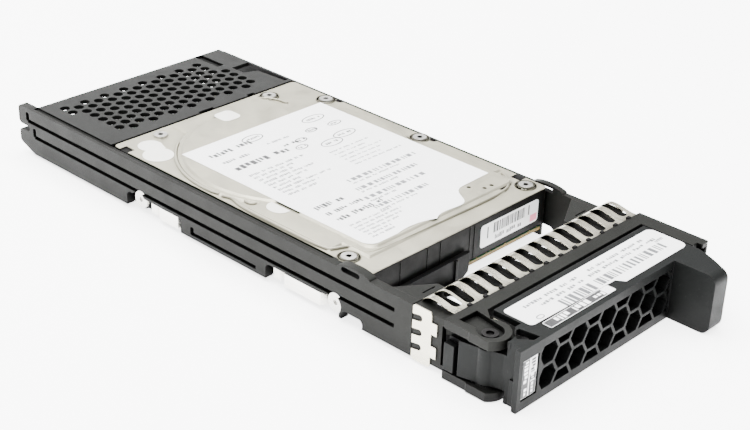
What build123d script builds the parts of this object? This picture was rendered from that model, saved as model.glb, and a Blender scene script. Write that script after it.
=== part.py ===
from build123d import *
from math import cos, radians, sin
import os

os.makedirs("parts", exist_ok=True)

# A 2.5 inch enterprise hard disk drive in its hot-swap carrier, lying on its underside.
# +X is to the right, +Y to the rear (backplane side), +Z up. The bezel faces -Y.
# The origin is the centre of the footprint, at the lowest point. Millimetres.

# ---------------------------------------------------------------- overall sizes
total_length = 203.0      # finger tab tip to rear prongs
frame_half = 38.9         # half width of the front frame and lever
bezel_height = 16.6
tab_reach = 12.1          # finger tab in front of the bezel face
drive_width = 69.85
drive_length = 100.4

# ---------------------------------------------------------------- stations along Y
tip_y = -total_length / 2
rear_y = total_length / 2
bezel_y = tip_y + tab_reach
lever_rear_y = bezel_y + 15.9
frame_front_y = lever_rear_y + 1.2
strip_front_y = frame_front_y + 4.0
strip_rear_y = strip_front_y + 10.7
drive_y = strip_rear_y + 16.5
drive_rear_y = drive_y + drive_length
vent_front_y = drive_rear_y + 0.6
vent_rear_y = vent_front_y + 35.0

# ---------------------------------------------------------------- carrier sections
rail_z = 1.1              # underside of the rails and of the drive
left_outer = -37.8
left_inner = -35.3
right_outer = 37.1
right_inner = 35.3
left_top = 15.5
right_top = 14.6
right_end_y = vent_rear_y + 0.6
frame_top = 15.3          # deck under the top spring strip
frame_bottom = 1.5
lip_top = 16.5            # frame top in front of the spring strip
wall = 1.5

# ---------------------------------------------------------------- drive stations
half_width = drive_width / 2
side_hole_y = (drive_y + 9.8, drive_y + 86.4)
side_hole_z = rail_z + 3.0
spindle_y = drive_y + 62.0
pivot_x = 17.0
pivot_y = drive_y + 16.0
board_z = 3.3
board_thick = 1.0
floor_z = 4.7
cavity_z = 6.0
casting_top = 15.0
flange_top = 15.35
deck_top = 15.85
dome_top = 16.3

# ---------------------------------------------------------------- interposer board
inter_y0 = drive_rear_y + 3.0
inter_y1 = vent_rear_y - 4.0
inter_z = 3.0
inter_thick = 1.6
inter_screw_x = 30.6
inter_screw_y = inter_y0 + 4.0
ledge_width = 7.5

# ---------------------------------------------------------------- lever hinge
hinge_x = -34.8
hinge_y = bezel_y + 10.7
pin_r = 1.5
knuckle_z0 = 3.3
knuckle_z1 = 12.8
ear_r = 5.0


def middle(low, high):
    return (low + high) / 2


def box(x0, x1, y0, y1, z0, z1, mode=Mode.ADD):
    """Add or cut a box given by its limits."""
    with Locations((middle(x0, x1), middle(y0, y1), middle(z0, z1))):
        Box(x1 - x0, y1 - y0, z1 - z0, mode=mode)


def flat(x0, x1, y0, y1, mode=Mode.ADD):
    """Add or cut a rectangle given by its limits, in a sketch."""
    with Locations((middle(x0, x1), middle(y0, y1))):
        Rectangle(x1 - x0, y1 - y0, mode=mode)


def polygon(*corners, mode=Mode.ADD):
    """Add or cut a straight-sided outline, in a sketch."""
    Polygon(*corners, align=None, mode=mode)


def ring_point(radius, angle, centre=(0, 0)):
    """A point on a circle, the angle in degrees from +X."""
    return (centre[0] + radius * cos(radians(angle)), centre[1] + radius * sin(radians(angle)))


# ================================================================ carrier
skin = 0.5                # rail left under a carrier screw's head
boss_r = 3.0
counterbore_r = 2.85
side_bore_r = 1.3
rail_windows = [(drive_y + 7.6, drive_y + 34.3, 4.5), (drive_y + 68.2, drive_y + 91.4, 4.4)]
top_step = 0.5            # inner part of a rail's top face, lower than its outer lip
top_lip = 0.9
arch_length = 6.2
arch_rise = 1.3
groove_high = 1.2
groove_deep = 1.1


def rail_side_view(top, arch_y, end_y, windows):
    """Side elevation of a rail in Y and Z, with rear prongs, arch, slots and windows."""
    flat(strip_rear_y, end_y, rail_z, top)
    with Locations((arch_y, top)):
        Ellipse(arch_length / 2 + 2.4, arch_rise)
    polygon((end_y - 7.0, rail_z), (end_y + 1, rail_z), (end_y + 1, rail_z + 3.0), mode=Mode.SUBTRACT)
    flat(end_y - 4.3, end_y + 1, 7.9, 9.6, mode=Mode.SUBTRACT)
    with Locations((end_y - 4.3, middle(7.9, 9.6))):
        Circle(0.85, mode=Mode.SUBTRACT)
    with Locations((arch_y + 1.0, top - 0.2)):
        SlotOverall(arch_length, 1.4, mode=Mode.SUBTRACT)
    # round-topped notch in the bottom edge
    with Locations((arch_y + 0.2, rail_z + 0.9)):
        SlotOverall(7.4, 3.4, mode=Mode.SUBTRACT)
    for low, high, height in windows:
        with Locations((middle(low, high), rail_z)):
            RectangleRounded(high - low, 2 * height, 1.4, mode=Mode.SUBTRACT)


def groove_lines(end_y):
    """The two long grooves and the short low one of a rail, in Y and Z."""
    front = strip_rear_y + 5.6
    for z, rear in ((11.4, end_y - 4.5), (7.0, end_y - 7.6)):
        flat(front, rear, z - groove_high / 2, z + groove_high / 2)
        with Locations((rear, z + groove_high / 2 + 0.7)):
            RectangleRounded(1.5, 2.8, 0.5)
    flat(drive_y + 38, drive_y + 63.4, 2.2, 3.3)
    with Locations((drive_y + 63.4, 3.4)):
        RectangleRounded(1.4, 2.5, 0.5)


def rail_fixings(sign, inner_x, outer_x):
    """Screw bosses against the drive, their counterbores, and the interposer ledge."""
    for y in side_hole_y:
        boss = abs(inner_x) + skin - half_width
        head = abs(outer_x) - abs(inner_x) - skin
        with Locations(Location((sign * (half_width + boss / 2), y, side_hole_z), (0, 90, 0))):
            Cylinder(boss_r, boss)
        with Locations(Location((sign * (abs(outer_x) - head / 2), y, side_hole_z), (0, 90, 0))):
            Cylinder(counterbore_r, head, mode=Mode.SUBTRACT)
        with Locations(Location((sign * (half_width + 1), y, side_hole_z), (0, 90, 0))):
            Cylinder(side_bore_r, 2.4, mode=Mode.SUBTRACT)
    box(*sorted((inner_x, inner_x - sign * ledge_width)), inter_y0, inter_y1, inter_z - 1.4, inter_z)
    with Locations((sign * inter_screw_x, inter_screw_y, inter_z)):
        Hole(1.1, depth=1.4)


with BuildPart() as tray_left_rail:
    with BuildSketch(Plane.YZ.offset(left_outer)) as left_view:
        rail_side_view(left_top, drive_y + 3.0, rear_y, rail_windows)
    extrude(amount=left_inner - left_outer)
    with BuildSketch(Plane.YZ.offset(left_outer)) as left_grooves:
        groove_lines(rear_y)
    extrude(amount=groove_deep, mode=Mode.SUBTRACT)
    fillet(tray_left_rail.edges().filter_by(Axis.X).group_by(Axis.Y)[-1], 1.4)
    box(left_outer + top_lip, left_inner, drive_y + 12, vent_rear_y, left_top - top_step, left_top,
        mode=Mode.SUBTRACT)
    rail_fixings(-1, left_inner, left_outer)
tray_left_rail.part.label = "tray_left_rail"
export_step(tray_left_rail.part, "parts/tray_left_rail.step")

with BuildPart() as tray_right_rail:
    with BuildSketch(Plane.YZ.offset(right_inner)) as right_view:
        rail_side_view(right_top, drive_y + 0.5, right_end_y, rail_windows)
    extrude(amount=right_outer - right_inner)
    with BuildSketch(Plane.YZ.offset(right_outer)) as right_grooves:
        groove_lines(right_end_y)
    extrude(amount=-groove_deep, mode=Mode.SUBTRACT)
    fillet(tray_right_rail.edges().filter_by(Axis.X).group_by(Axis.Y)[-1], 1.4)
    box(right_inner, right_outer - top_lip, drive_y + 12, vent_rear_y, right_top - top_step, right_top,
        mode=Mode.SUBTRACT)
    rail_fixings(1, right_inner, right_outer)
tray_right_rail.part.label = "tray_right_rail"
export_step(tray_right_rail.part, "parts/tray_right_rail.step")

# Rear vent plate: a sheet with two side flanges, between the rails and behind the drive.
vent_hole_r = 1.5
vent_pitch_x = 3.64
vent_pitch_y = 3.88
vent_columns = 15
vent_x0 = -26.2
vent_thick = 1.2
vent_holes = []
for column in range(vent_columns):
    odd = column % 2
    for row in range(6 + odd):
        x = vent_x0 + column * vent_pitch_x
        y = vent_front_y + 7.9 + row * vent_pitch_y - odd * vent_pitch_y / 2
        near_slot = x > 24 and y > vent_rear_y - 13.5
        if not near_slot:
            vent_holes.append((x, y))
for row in (4, 5):
    vent_holes.append((vent_x0 - vent_pitch_x, vent_front_y + 7.9 + (row + 0.5) * vent_pitch_y))

with BuildPart() as rear_vent_plate:
    with BuildSketch(Plane.XY.offset(left_top - vent_thick)) as vent_sheet:
        flat(left_inner, right_inner, vent_front_y, vent_rear_y)
        with Locations(*vent_holes):
            Circle(vent_hole_r, mode=Mode.SUBTRACT)
        # opening beside the right rail, notches in the front edge
        polygon((27.9, vent_front_y + 20.2), (34.7, vent_front_y + 20.2), (34.7, vent_front_y + 1.4),
                (33.2, vent_front_y + 1.4), (32.4, vent_front_y + 13.0), (27.9, vent_front_y + 14.6),
                mode=Mode.SUBTRACT)
        flat(-2.6, 3.0, vent_front_y - 1, vent_front_y + 0.8, mode=Mode.SUBTRACT)
        flat(16.6, 19.4, vent_front_y - 1, vent_front_y + 0.9, mode=Mode.SUBTRACT)
    extrude(amount=vent_thick)
    # long blind groove at the rear
    box(25.0, 27.8, vent_rear_y - 11.2, vent_rear_y - 0.1, left_top - vent_thick + 0.3, left_top,
        mode=Mode.SUBTRACT)
rear_vent_plate.part.label = "rear_vent_plate"
export_step(rear_vent_plate.part, "parts/rear_vent_plate.step")

# Front frame: a duct across the front, lips in front of the spring strips, hinge ears at the
# left, a fixed arm at the right and a gusset at each rail.
finger_slots = 14
finger_pitch = 5.22
first_slot_x = -32.9
finger_window_y = strip_rear_y - 5.3
arm_inner = 33.9
arm_front_y = bezel_y - 0.2
ear_thick = 2.4
web_thick = 1.3
duct_left = -37.6
ear_side_x = -38.6


def finger_windows(width, length, short_length, centre_y):
    """Slots between the spring fingers, in plan; the first is nearer and shorter."""
    for slot in range(finger_slots):
        x = first_slot_x + slot * finger_pitch
        if slot == 0:
            x += 1.4
        with Locations((x, centre_y)):
            SlotOverall(length if 0 < slot < finger_slots - 2 else short_length, width, rotation=90)


def hinge_ear():
    """Outline of one hinge ear in plan, running forward from the lip to the pin boss."""
    polygon((ear_side_x, strip_front_y), (ear_side_x, hinge_y), (hinge_x, hinge_y),
            (hinge_x + 3.6, hinge_y + 2.9), (-28.2, frame_front_y), (-28.2, strip_front_y))
    with Locations((hinge_x, hinge_y)):
        Circle(ear_r)


with BuildPart() as front_frame:
    box(duct_left, frame_half - 1.1, strip_front_y, strip_rear_y, frame_bottom, frame_top)
    box(duct_left + wall, frame_half - 1.1 - wall, strip_front_y - 1, strip_rear_y + 1,
        frame_bottom + wall, frame_top - wall, mode=Mode.SUBTRACT)
    # windows under the spring fingers, top and bottom
    with BuildSketch(Plane.XY.offset(frame_bottom - 1)) as deck_windows:
        finger_windows(3.4, 8.2, 6.6, finger_window_y - 0.1)
    extrude(amount=frame_top - frame_bottom + 2, mode=Mode.SUBTRACT)
    # room for the jaw at the left, between the ears
    box(duct_left - 2, -28.5, strip_front_y - 1, strip_front_y + 1.4, 2.9, 13.6, mode=Mode.SUBTRACT)
    # lips in front of the strips, top and bottom
    for low, high in ((frame_top - wall, lip_top), (0.3, frame_bottom + wall)):
        box(-28.3, frame_half - 0.6, frame_front_y, strip_front_y, low, high)
    # hinge ears
    for low, height in ((lip_top - ear_thick, ear_thick), (0.3, ear_thick)):
        with BuildSketch(Plane.XY.offset(low)):
            hinge_ear()
        extrude(amount=height)
    box(-frame_half - 5, -frame_half, hinge_y - 8, hinge_y + 8, -1, lip_top + 1, mode=Mode.SUBTRACT)
    # boss under the top ear and over the bottom ear, round the pin
    for low, high in ((knuckle_z1 + 0.2, lip_top - ear_thick), (0.3 + ear_thick, knuckle_z0 - 0.2)):
        with Locations((hinge_x, hinge_y, middle(low, high))):
            Cylinder(2.9, high - low)
    # recess in the top ear around the pin head
    with BuildSketch(Plane.XY.offset(lip_top)):
        polygon((-36.4, strip_front_y - 2.4), (-30.3, strip_front_y - 2.6),
                (hinge_x + 3.3, hinge_y), (hinge_x - 1.2, hinge_y - 2.6))
        with Locations((hinge_x, hinge_y)):
            Circle(3.3)
    extrude(amount=-1.3, mode=Mode.SUBTRACT)
    # fixed arm at the right, with a catch window in its end
    box(arm_inner, frame_half, arm_front_y, strip_front_y, 0.3, lip_top)
    box(arm_inner + wall, frame_half - 1.2, arm_front_y - 1, strip_front_y - 2,
        1.8, lip_top - 1.2, mode=Mode.SUBTRACT)
    box(arm_inner - 1, frame_half - 3.0, arm_front_y - 1, arm_front_y + 1.6,
        lip_top - 6.5, lip_top + 1, mode=Mode.SUBTRACT)
    # gussets that carry the rails
    for side, inner, tip_x, top in ((-1, left_inner, -26.3, left_top), (1, right_inner, 23.5, right_top)):
        with BuildSketch(Plane.XY.offset(top - web_thick)):
            polygon((inner, strip_rear_y), (inner, strip_rear_y + 8.6), (tip_x, strip_rear_y + 2.2),
                    (tip_x, strip_rear_y))
            with Locations((inner - side * 5.2, strip_rear_y + 1.8)):
                Rectangle(4.4, 0.5, mode=Mode.SUBTRACT)
        extrude(amount=web_thick)
    # bores for the hinge pin, top and bottom
    with Locations((hinge_x, hinge_y, bezel_height / 2)):
        Cylinder(pin_r, bezel_height + 4, mode=Mode.SUBTRACT)
    fillet(front_frame.edges().filter_by(Axis.Z).group_by(Axis.Y)[0], 0.5)
front_frame.part.label = "front_frame"
export_step(front_frame.part, "parts/front_frame.step")

# Low wall across the left half, just in front of the drive.
with BuildPart() as front_cross_panel:
    with BuildSketch(Plane.XZ.offset(-drive_y + 0.3)) as panel_view:
        polygon((left_inner, rail_z), (-2.0, rail_z), (0.8, rail_z + 2.0), (1.2, 8.6),
                (left_inner, 8.0))
    extrude(amount=1.3)
    box(left_inner, -4.5, drive_y - 4.6, drive_y - 1.5, rail_z, rail_z + 1.2)
    box(-4.9, -4.0, drive_y - 2.1, drive_y - 1.5, rail_z, 8.2)
front_cross_panel.part.label = "front_cross_panel"
export_step(front_cross_panel.part, "parts/front_cross_panel.step")

# ---------------------------------------------------------------- EMI spring strips
strip_thick = 0.25
strip_x0 = -34.9
strip_x1 = 37.7


def arched_strip(base_z, rise, front_lift):
    """Section in Y and Z of a spring strip: its crest near the rear, its front edge lifted."""
    shift = strip_thick if rise > 0 else -strip_thick
    rear = (strip_rear_y - 0.3, base_z)
    crest = (strip_rear_y - 2.2, base_z + rise)
    slope = (strip_rear_y - 6.4, base_z + middle(rise, front_lift) + 0.1 * rise)
    front = (strip_front_y + 0.15, base_z + front_lift)
    with BuildLine() as outline:
        under = Spline(rear, crest, slope, front)
        over = Spline(*[(y, z + shift) for y, z in (rear, crest, slope, front)])
        Line(under @ 0, over @ 0)
        Line(under @ 1, over @ 1)
    make_face(outline.edges())


with BuildPart() as emi_strip_top:
    with BuildSketch(Plane.YZ.offset(strip_x0)) as top_arch:
        arched_strip(frame_top, 1.5, 0.85)
    extrude(amount=strip_x1 - strip_x0)
    with BuildSketch(Plane.XY.offset(frame_top - 1)) as top_windows:
        finger_windows(3.0, 9.3, 7.6, finger_window_y)
    extrude(amount=5, mode=Mode.SUBTRACT)
emi_strip_top.part.label = "emi_strip_top"
export_step(emi_strip_top.part, "parts/emi_strip_top.step")

with BuildPart() as emi_strip_bottom:
    with BuildSketch(Plane.YZ.offset(strip_x0)) as bottom_arch:
        arched_strip(frame_bottom, -1.1, -0.75)
    extrude(amount=strip_x1 - strip_x0)
    with BuildSketch(Plane.XY.offset(frame_bottom + 1)) as bottom_windows:
        finger_windows(3.0, 9.3, 7.6, finger_window_y)
    extrude(amount=-5, mode=Mode.SUBTRACT)
emi_strip_bottom.part.label = "emi_strip_bottom"
export_step(emi_strip_bottom.part, "parts/emi_strip_bottom.step")


def side_strip():
    """Elevation in Y and Z of a side strip: two tabs at the front, three slots open at the rear."""
    rear = strip_rear_y - 0.3
    front = strip_rear_y - 6.2
    with Locations((middle(front, rear), 8.3)):
        RectangleRounded(rear - front, 15.2, 0.9)
    for low, high in ((3.7, 6.8), (10.0, 13.2)):
        flat(front - 1.7, front + 1, low, high)
    for z in (4.4, 8.4, 12.4):
        with Locations((rear, z)):
            SlotOverall(6.2, 1.7, rotation=-10, mode=Mode.SUBTRACT)


for name, face_x in (("emi_strip_left", duct_left), ("emi_strip_right", frame_half - 1.1)):
    with BuildPart() as emi_side_strip:
        with BuildSketch(Plane.YZ.offset(face_x)) as side_view:
            side_strip()
        extrude(amount=0.35 if face_x > 0 else -0.35)
    emi_side_strip.part.label = name
    export_step(emi_side_strip.part, f"parts/{name}.step")

# ================================================================ ejector lever
block_x = -35.7           # side face of the block beside the hinge
block_top = 15.8
flange_depth = 1.4        # bezel flange that stands proud of the block's side
lever_left = -37.2
lever_right = arm_inner - 0.6
grille_depth = 4.0
plate_thick = 1.6
hex_across = 5.9          # across flats
hex_pitch_z = 6.6
hex_pitch_x = 5.7
window_x0 = -29.2
tab_x0 = 23.6
tab_thick = 5.8
window_x1 = tab_x0 - 0.6
window_z0 = 2.4
window_z1 = 14.3
knuckle_r = 3.0

hex_cells = []
for column in range(10):
    lift = 0 if column % 2 else hex_pitch_z / 2
    for row in (-1, 0, 1):
        hex_cells.append((-26.3 + column * hex_pitch_x, 8.7 + lift + row * hex_pitch_z))

with BuildPart() as ejector_lever:
    # cover plates, top and bottom, with a round bite that clears the hinge ears
    for low in (bezel_height - plate_thick, 0):
        with BuildSketch(Plane.XY.offset(low)):
            flat(lever_left, lever_right, bezel_y, hinge_y - 3.0)
            flat(-27.4, lever_right, bezel_y, lever_rear_y)
            with Locations((hinge_x, hinge_y)):
                Circle(ear_r + 0.9, mode=Mode.SUBTRACT)
            flat(lever_left - 1, hinge_x - 1.0, bezel_y + flange_depth, hinge_y, mode=Mode.SUBTRACT)
        extrude(amount=plate_thick)
    # bezel wall, left block, ledge on its lower half and right wall
    box(lever_left, lever_right, bezel_y, bezel_y + grille_depth, 0, bezel_height)
    box(lever_left, block_x, bezel_y + flange_depth, bezel_y + grille_depth, -1, bezel_height + 1,
        mode=Mode.SUBTRACT)
    box(block_x, -29.4, bezel_y, hinge_y - ear_r - 0.9, 0, block_top)
    box(block_x - 0.5, block_x, bezel_y + flange_depth, hinge_y - ear_r - 2.4, 1.0, 7.4)
    box(lever_right - wall, lever_right, bezel_y, lever_rear_y, 0, bezel_height)
    # honeycomb through the bezel wall
    with BuildSketch(Plane.XZ.offset(-bezel_y)) as honeycomb:
        with Locations(*hex_cells):
            RegularPolygon(hex_across / 2 - 0.05, 6, major_radius=False)
        flat(window_x0, window_x1, window_z0, window_z1, mode=Mode.INTERSECT)
    extrude(amount=-grille_depth, mode=Mode.SUBTRACT)
    # recess for the bezel label
    box(-35.7, -29.9, bezel_y - 1, bezel_y + 0.4, 2.6, 13.4, mode=Mode.SUBTRACT)
    # pocket in the top, beside the hinge
    with BuildSketch(Plane.XY.offset(bezel_height)) as pocket:
        polygon((-31.6, bezel_y + 6.6), (-29.6, bezel_y + 6.6), (-28.6, bezel_y + 1.2),
                (-30.8, bezel_y + 1.2), (-33.4, bezel_y + 4.2))
    extrude(amount=-5, mode=Mode.SUBTRACT)
    # hinge knuckle between the ears, and the side panel that swells outward to the rear
    with BuildSketch(Plane.XY.offset(knuckle_z0)) as knuckle:
        with Locations((hinge_x, hinge_y)):
            Circle(knuckle_r)
        with BuildLine():
            ThreePointArc((block_x, hinge_y - 5.0), (-37.6, hinge_y + 0.8), (-38.7, hinge_y + 5.8))
            Polyline((-38.7, hinge_y + 5.8), (-31.8, hinge_y + 5.8), (hinge_x + 2.9, hinge_y),
                     (-31.1, hinge_y - 7.0), (block_x, hinge_y - 7.0), (block_x, hinge_y - 5.0))
        make_face()
    extrude(amount=knuckle_z1 - knuckle_z0)
    # cam jaw behind the panel
    box(-36.9, -32.4, hinge_y + 5.5, hinge_y + 10.0, knuckle_z0, knuckle_z1 - 1.2)
    box(-frame_half, -36.8, hinge_y + 7.0, hinge_y + 10.0, knuckle_z0, 10.6)
    # finger tab
    with BuildSketch(Plane.YZ.offset(tab_x0)) as tab_view:
        flat(tip_y, bezel_y + 1, 0, bezel_height)
        fillet(tab_view.vertices().group_by(Axis.X)[0], 2.6)
    extrude(amount=tab_thick)
    # blend between the tab and the right end of the bezel
    with BuildSketch(Plane.XY) as tab_blend:
        with BuildLine():
            Polyline((tab_x0 + tab_thick, tip_y + 2.2), (tab_x0 + tab_thick, bezel_y + 1),
                     (lever_right, bezel_y + 1), (lever_right, bezel_y - 0.8))
            ThreePointArc((lever_right, bezel_y - 0.8), (lever_right - 1.4, bezel_y - 4.9),
                          (tab_x0 + tab_thick, tip_y + 2.2))
        make_face()
    extrude(amount=bezel_height)
    # bore for the pin
    with Locations((hinge_x, hinge_y, middle(knuckle_z0, knuckle_z1))):
        Cylinder(pin_r + 0.05, knuckle_z1 - knuckle_z0, mode=Mode.SUBTRACT)
ejector_lever.part.label = "ejector_lever"
export_step(ejector_lever.part, "parts/ejector_lever.step")

pin_top = lip_top - 1.3
with BuildPart() as lever_pin:
    with Locations((hinge_x, hinge_y, middle(0.4, pin_top))):
        Cylinder(pin_r, pin_top - 0.4)
    with Locations((hinge_x, hinge_y, pin_top + 0.35)):
        Cylinder(2.0, 0.7)
    with Locations((hinge_x, hinge_y, pin_top + 0.4)):
        Cylinder(1.0, 0.7, mode=Mode.SUBTRACT)
lever_pin.part.label = "lever_pin"
export_step(lever_pin.part, "parts/lever_pin.step")

label_thick = 0.1
with BuildPart() as lever_label:
    with BuildSketch(Plane.XY.offset(bezel_height)) as lever_label_view:
        polygon((-26.6, lever_rear_y - 1.8), (33.0, lever_rear_y - 1.8), (33.0, bezel_y + 2.2),
                (6.2, bezel_y + 2.2), (4.6, bezel_y + 4.4), (-24.4, bezel_y + 5.2),
                (-26.6, bezel_y + 5.2))
        fillet(lever_label_view.vertices().group_by(Axis.X)[-1], 2.0)
        fillet(lever_label_view.vertices().group_by(Axis.X)[0], 1.2)
    extrude(amount=label_thick)
lever_label.part.label = "lever_label"
export_step(lever_label.part, "parts/lever_label.step")

with BuildPart() as lever_code_strip:
    with BuildSketch(Plane.XY.offset(bezel_height)) as code_strip_view:
        with Locations((middle(-24.0, 1.2), bezel_y + 3.0)):
            RectangleRounded(25.2, 2.8, 0.4)
    extrude(amount=label_thick)
lever_code_strip.part.label = "lever_code_strip"
export_step(lever_code_strip.part, "parts/lever_code_strip.step")

with BuildPart() as bezel_label:
    box(-35.4, -30.2, bezel_y + 0.3, bezel_y + 0.4, 2.9, 13.1)
bezel_label.part.label = "bezel_label"
export_step(bezel_label.part, "parts/bezel_label.step")

# ================================================================ carrier hardware
screw_head_r = 2.6
screw_shank_r = 1.25


def side_screw(sign, seat_x, y):
    """Carrier screw: a low head seated in the rail, its shank into the drive."""
    with Locations(Location((sign * (seat_x + 0.5), y, side_hole_z), (0, 90, 0))):
        Cylinder(screw_head_r, 1.0)
    with Locations(Location((sign * (seat_x - 1.8), y, side_hole_z), (0, 90, 0))):
        Cylinder(screw_shank_r, 3.6)
    with Locations(Location((sign * (seat_x + 0.8), y, side_hole_z), (0, 90, 0))):
        Cylinder(0.7, 0.6, mode=Mode.SUBTRACT)


with BuildPart() as carrier_screws:
    for sign, inner_x in ((-1, left_inner), (1, right_inner)):
        for y in side_hole_y:
            side_screw(sign, abs(inner_x) + skin, y)
carrier_screws.part.label = "carrier_screws"
export_step(carrier_screws.part, "parts/carrier_screws.step")


def ground_spring(sign, y0, reach, y1):
    """Leaf spring in plan: a bowed leaf through the rail window, then a tail with a raised end."""
    seat = half_width + 0.02
    crown = half_width + 2.3
    rise = half_width + 1.2
    thick = 0.2
    line = [(y0, seat), (y0 + 1.0, crown), (y0 + reach - 1.4, crown), (y0 + reach, seat),
            (y1 - 4.0, seat), (y1 - 3.2, rise), (y1 - 0.9, rise), (y1, seat)]
    near = [(sign * x, y) for y, x in line]
    far = [(sign * (x + thick), y) for y, x in line[::-1]]
    polygon(*near, *far)


leaf_z = rail_z + 0.3
leaf_high = 3.7
with BuildPart() as left_ground_springs:
    with BuildSketch(Plane.XY.offset(leaf_z)) as left_leaves:
        ground_spring(-1, side_hole_y[0] + 3.6, 15.6, rail_windows[0][1] - 0.6)
        ground_spring(-1, rail_windows[1][0] + 0.6, 10.2, side_hole_y[1] - 3.1)
    extrude(amount=leaf_high)
left_ground_springs.part.label = "left_ground_springs"
export_step(left_ground_springs.part, "parts/left_ground_springs.step")

with BuildPart() as right_ground_springs:
    with BuildSketch(Plane.XY.offset(leaf_z)) as right_leaves:
        ground_spring(1, side_hole_y[0] + 3.6, 15.6, rail_windows[0][1] - 0.6)
        ground_spring(1, rail_windows[1][0] + 0.6, 10.2, side_hole_y[1] - 3.1)
    extrude(amount=leaf_high)
right_ground_springs.part.label = "right_ground_springs"
export_step(right_ground_springs.part, "parts/right_ground_springs.step")

# ================================================================ drive housing
skirt_inner = 27.6
plug_half = 20.5
plug_front = drive_rear_y - 4.0
bottom_hole_x = 61.72 / 2
bottom_hole_r = 1.25
disc_room_r = 33.5
cavity_front = drive_y + 2.6
cavity_left = -31.0
cavity_right = 33.0

filter_room = (-31.0, -23.2, drive_rear_y - 18.0, drive_rear_y - 3.0)


def cavity_outline(grow, mode=Mode.ADD):
    """Plan of the sealed room: discs, actuator bay and filter corner."""
    with Locations((0, spindle_y)):
        Circle(disc_room_r + grow, mode=mode)
    flat(cavity_left - grow, cavity_right + grow, cavity_front - grow, drive_y + 44 + grow, mode=mode)
    x0, x1, y0, y1 = filter_room
    flat(x0 - grow, x1 + grow, y0 - grow, y1 + grow, mode=mode)


with BuildPart() as drive_base:
    box(-half_width, half_width, drive_y, drive_rear_y, rail_z, casting_top)
    fillet(drive_base.edges().filter_by(Axis.Z), 1.2)
    # room underneath for the circuit board, open at the front and at the rear
    box(-skirt_inner, skirt_inner, drive_y - 1, drive_rear_y + 1, rail_z - 1, floor_z, mode=Mode.SUBTRACT)
    box(-33.2, 33.2, drive_y - 1, drive_y + 5.0, rail_z - 1, floor_z, mode=Mode.SUBTRACT)
    # room for the discs and for the actuator
    with BuildSketch(Plane.XY.offset(cavity_z)) as cavity_plan:
        cavity_outline(0)
    extrude(amount=casting_top - cavity_z, mode=Mode.SUBTRACT)
    # notch in the rear wall for the connector
    box(-22.4, 22.4, plug_front - 0.2, drive_rear_y + 1, rail_z - 1, 8.6, mode=Mode.SUBTRACT)
    # threaded holes, sides and underside
    for sign in (-1, 1):
        for y in side_hole_y:
            with Locations(Location((sign * (half_width - 1.9), y, side_hole_z), (0, 90, 0))):
                Cylinder(side_bore_r, 3.8, mode=Mode.SUBTRACT)
            with Locations((sign * bottom_hole_x, y, rail_z + 1.2)):
                Cylinder(bottom_hole_r, 2.4, mode=Mode.SUBTRACT)
drive_base.part.label = "drive_base"
export_step(drive_base.part, "parts/drive_base.step")

gasket_width = 0.8
with BuildPart() as cover_gasket:
    with BuildSketch(Plane.XY.offset(casting_top)) as gasket_plan:
        cavity_outline(gasket_width)
        cavity_outline(0.1, mode=Mode.SUBTRACT)
    extrude(amount=0.1)
cover_gasket.part.label = "cover_gasket"
export_step(cover_gasket.part, "parts/cover_gasket.step")

# Stamped cover: a flat flange, a raised deck and a round dome over the discs.
cover_under = casting_top + 0.1
dome_r = 34.0
cover_holes = [(-32.6, drive_y + 9.6), (31.0, drive_y + 4.6), (32.6, drive_y + 45.0),
               (32.3, drive_y + 83.2), (21.3, drive_y + 96.6), (-21.0, drive_y + 96.6)]

with BuildPart() as drive_cover:
    with BuildSketch(Plane.XY.offset(cover_under)) as flange_plan:
        flat(-half_width, half_width, drive_y + 0.1, drive_rear_y - 0.1)
        fillet(flange_plan.vertices(), 1.4)
        # clearance notches at the edges
        flat(-half_width - 1, -half_width + 2.4, drive_rear_y - 6.5, drive_rear_y - 2.8, mode=Mode.SUBTRACT)
        for y in (drive_y + 41.6, drive_y + 79.8):
            with Locations((half_width, y)):
                Circle(1.3, mode=Mode.SUBTRACT)
        flat(half_width - 2.6, half_width + 1, drive_y + 7.6, drive_y + 11.0, mode=Mode.SUBTRACT)
    extrude(amount=flange_top - cover_under)
    # deck with sloping sides
    with BuildSketch(Plane.XY.offset(flange_top)) as deck_plan:
        flat(-34.0, 33.4, drive_y + 15.0, drive_y + 46)
        flat(-29.4, 24.0, drive_y + 5.6, drive_y + 16)
        with Locations((0, spindle_y)):
            Circle(dome_r)
        flat(-15.0, 19.0, spindle_y + 20, drive_rear_y - 1.4)
        for x, y in cover_holes:
            with Locations((x, y)):
                Circle(3.2, mode=Mode.SUBTRACT)
    extrude(amount=deck_top - flange_top, taper=50)
    # dome over the discs, and a raised pad beside the front left screw
    with BuildSketch(Plane.XY.offset(deck_top - 0.02)) as dome_plan:
        with Locations((0, spindle_y)):
            Circle(dome_r - 1.6)
    extrude(amount=dome_top - deck_top + 0.02, taper=50)
    with BuildSketch(Plane.XY.offset(deck_top - 0.02)) as actuator_plan:
        flat(-26.6, 30.4, drive_y + 7.6, drive_y + 34)
        fillet(actuator_plan.vertices().group_by(Axis.Y)[0], 3.0)
    extrude(amount=dome_top - deck_top + 0.02, taper=50)
    # underside, raised over the disc pack
    with BuildSketch(Plane.XY.offset(cover_under)) as dome_hollow:
        with Locations((0, spindle_y)):
            Circle(dome_r - 2.0)
    extrude(amount=0.3, mode=Mode.SUBTRACT)
    with Locations(*[(x, y, flange_top) for x, y in cover_holes]):
        Hole(1.1, depth=2)
    # blind dimples near the front right corner
    with Locations(*[(x, drive_y + y, dome_top) for x, y in ((20.2, 10.2), (22.9, 10.0), (17.4, 13.4))]):
        Hole(0.6, depth=0.4)
drive_cover.part.label = "drive_cover"
export_step(drive_cover.part, "parts/drive_cover.step")

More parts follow.
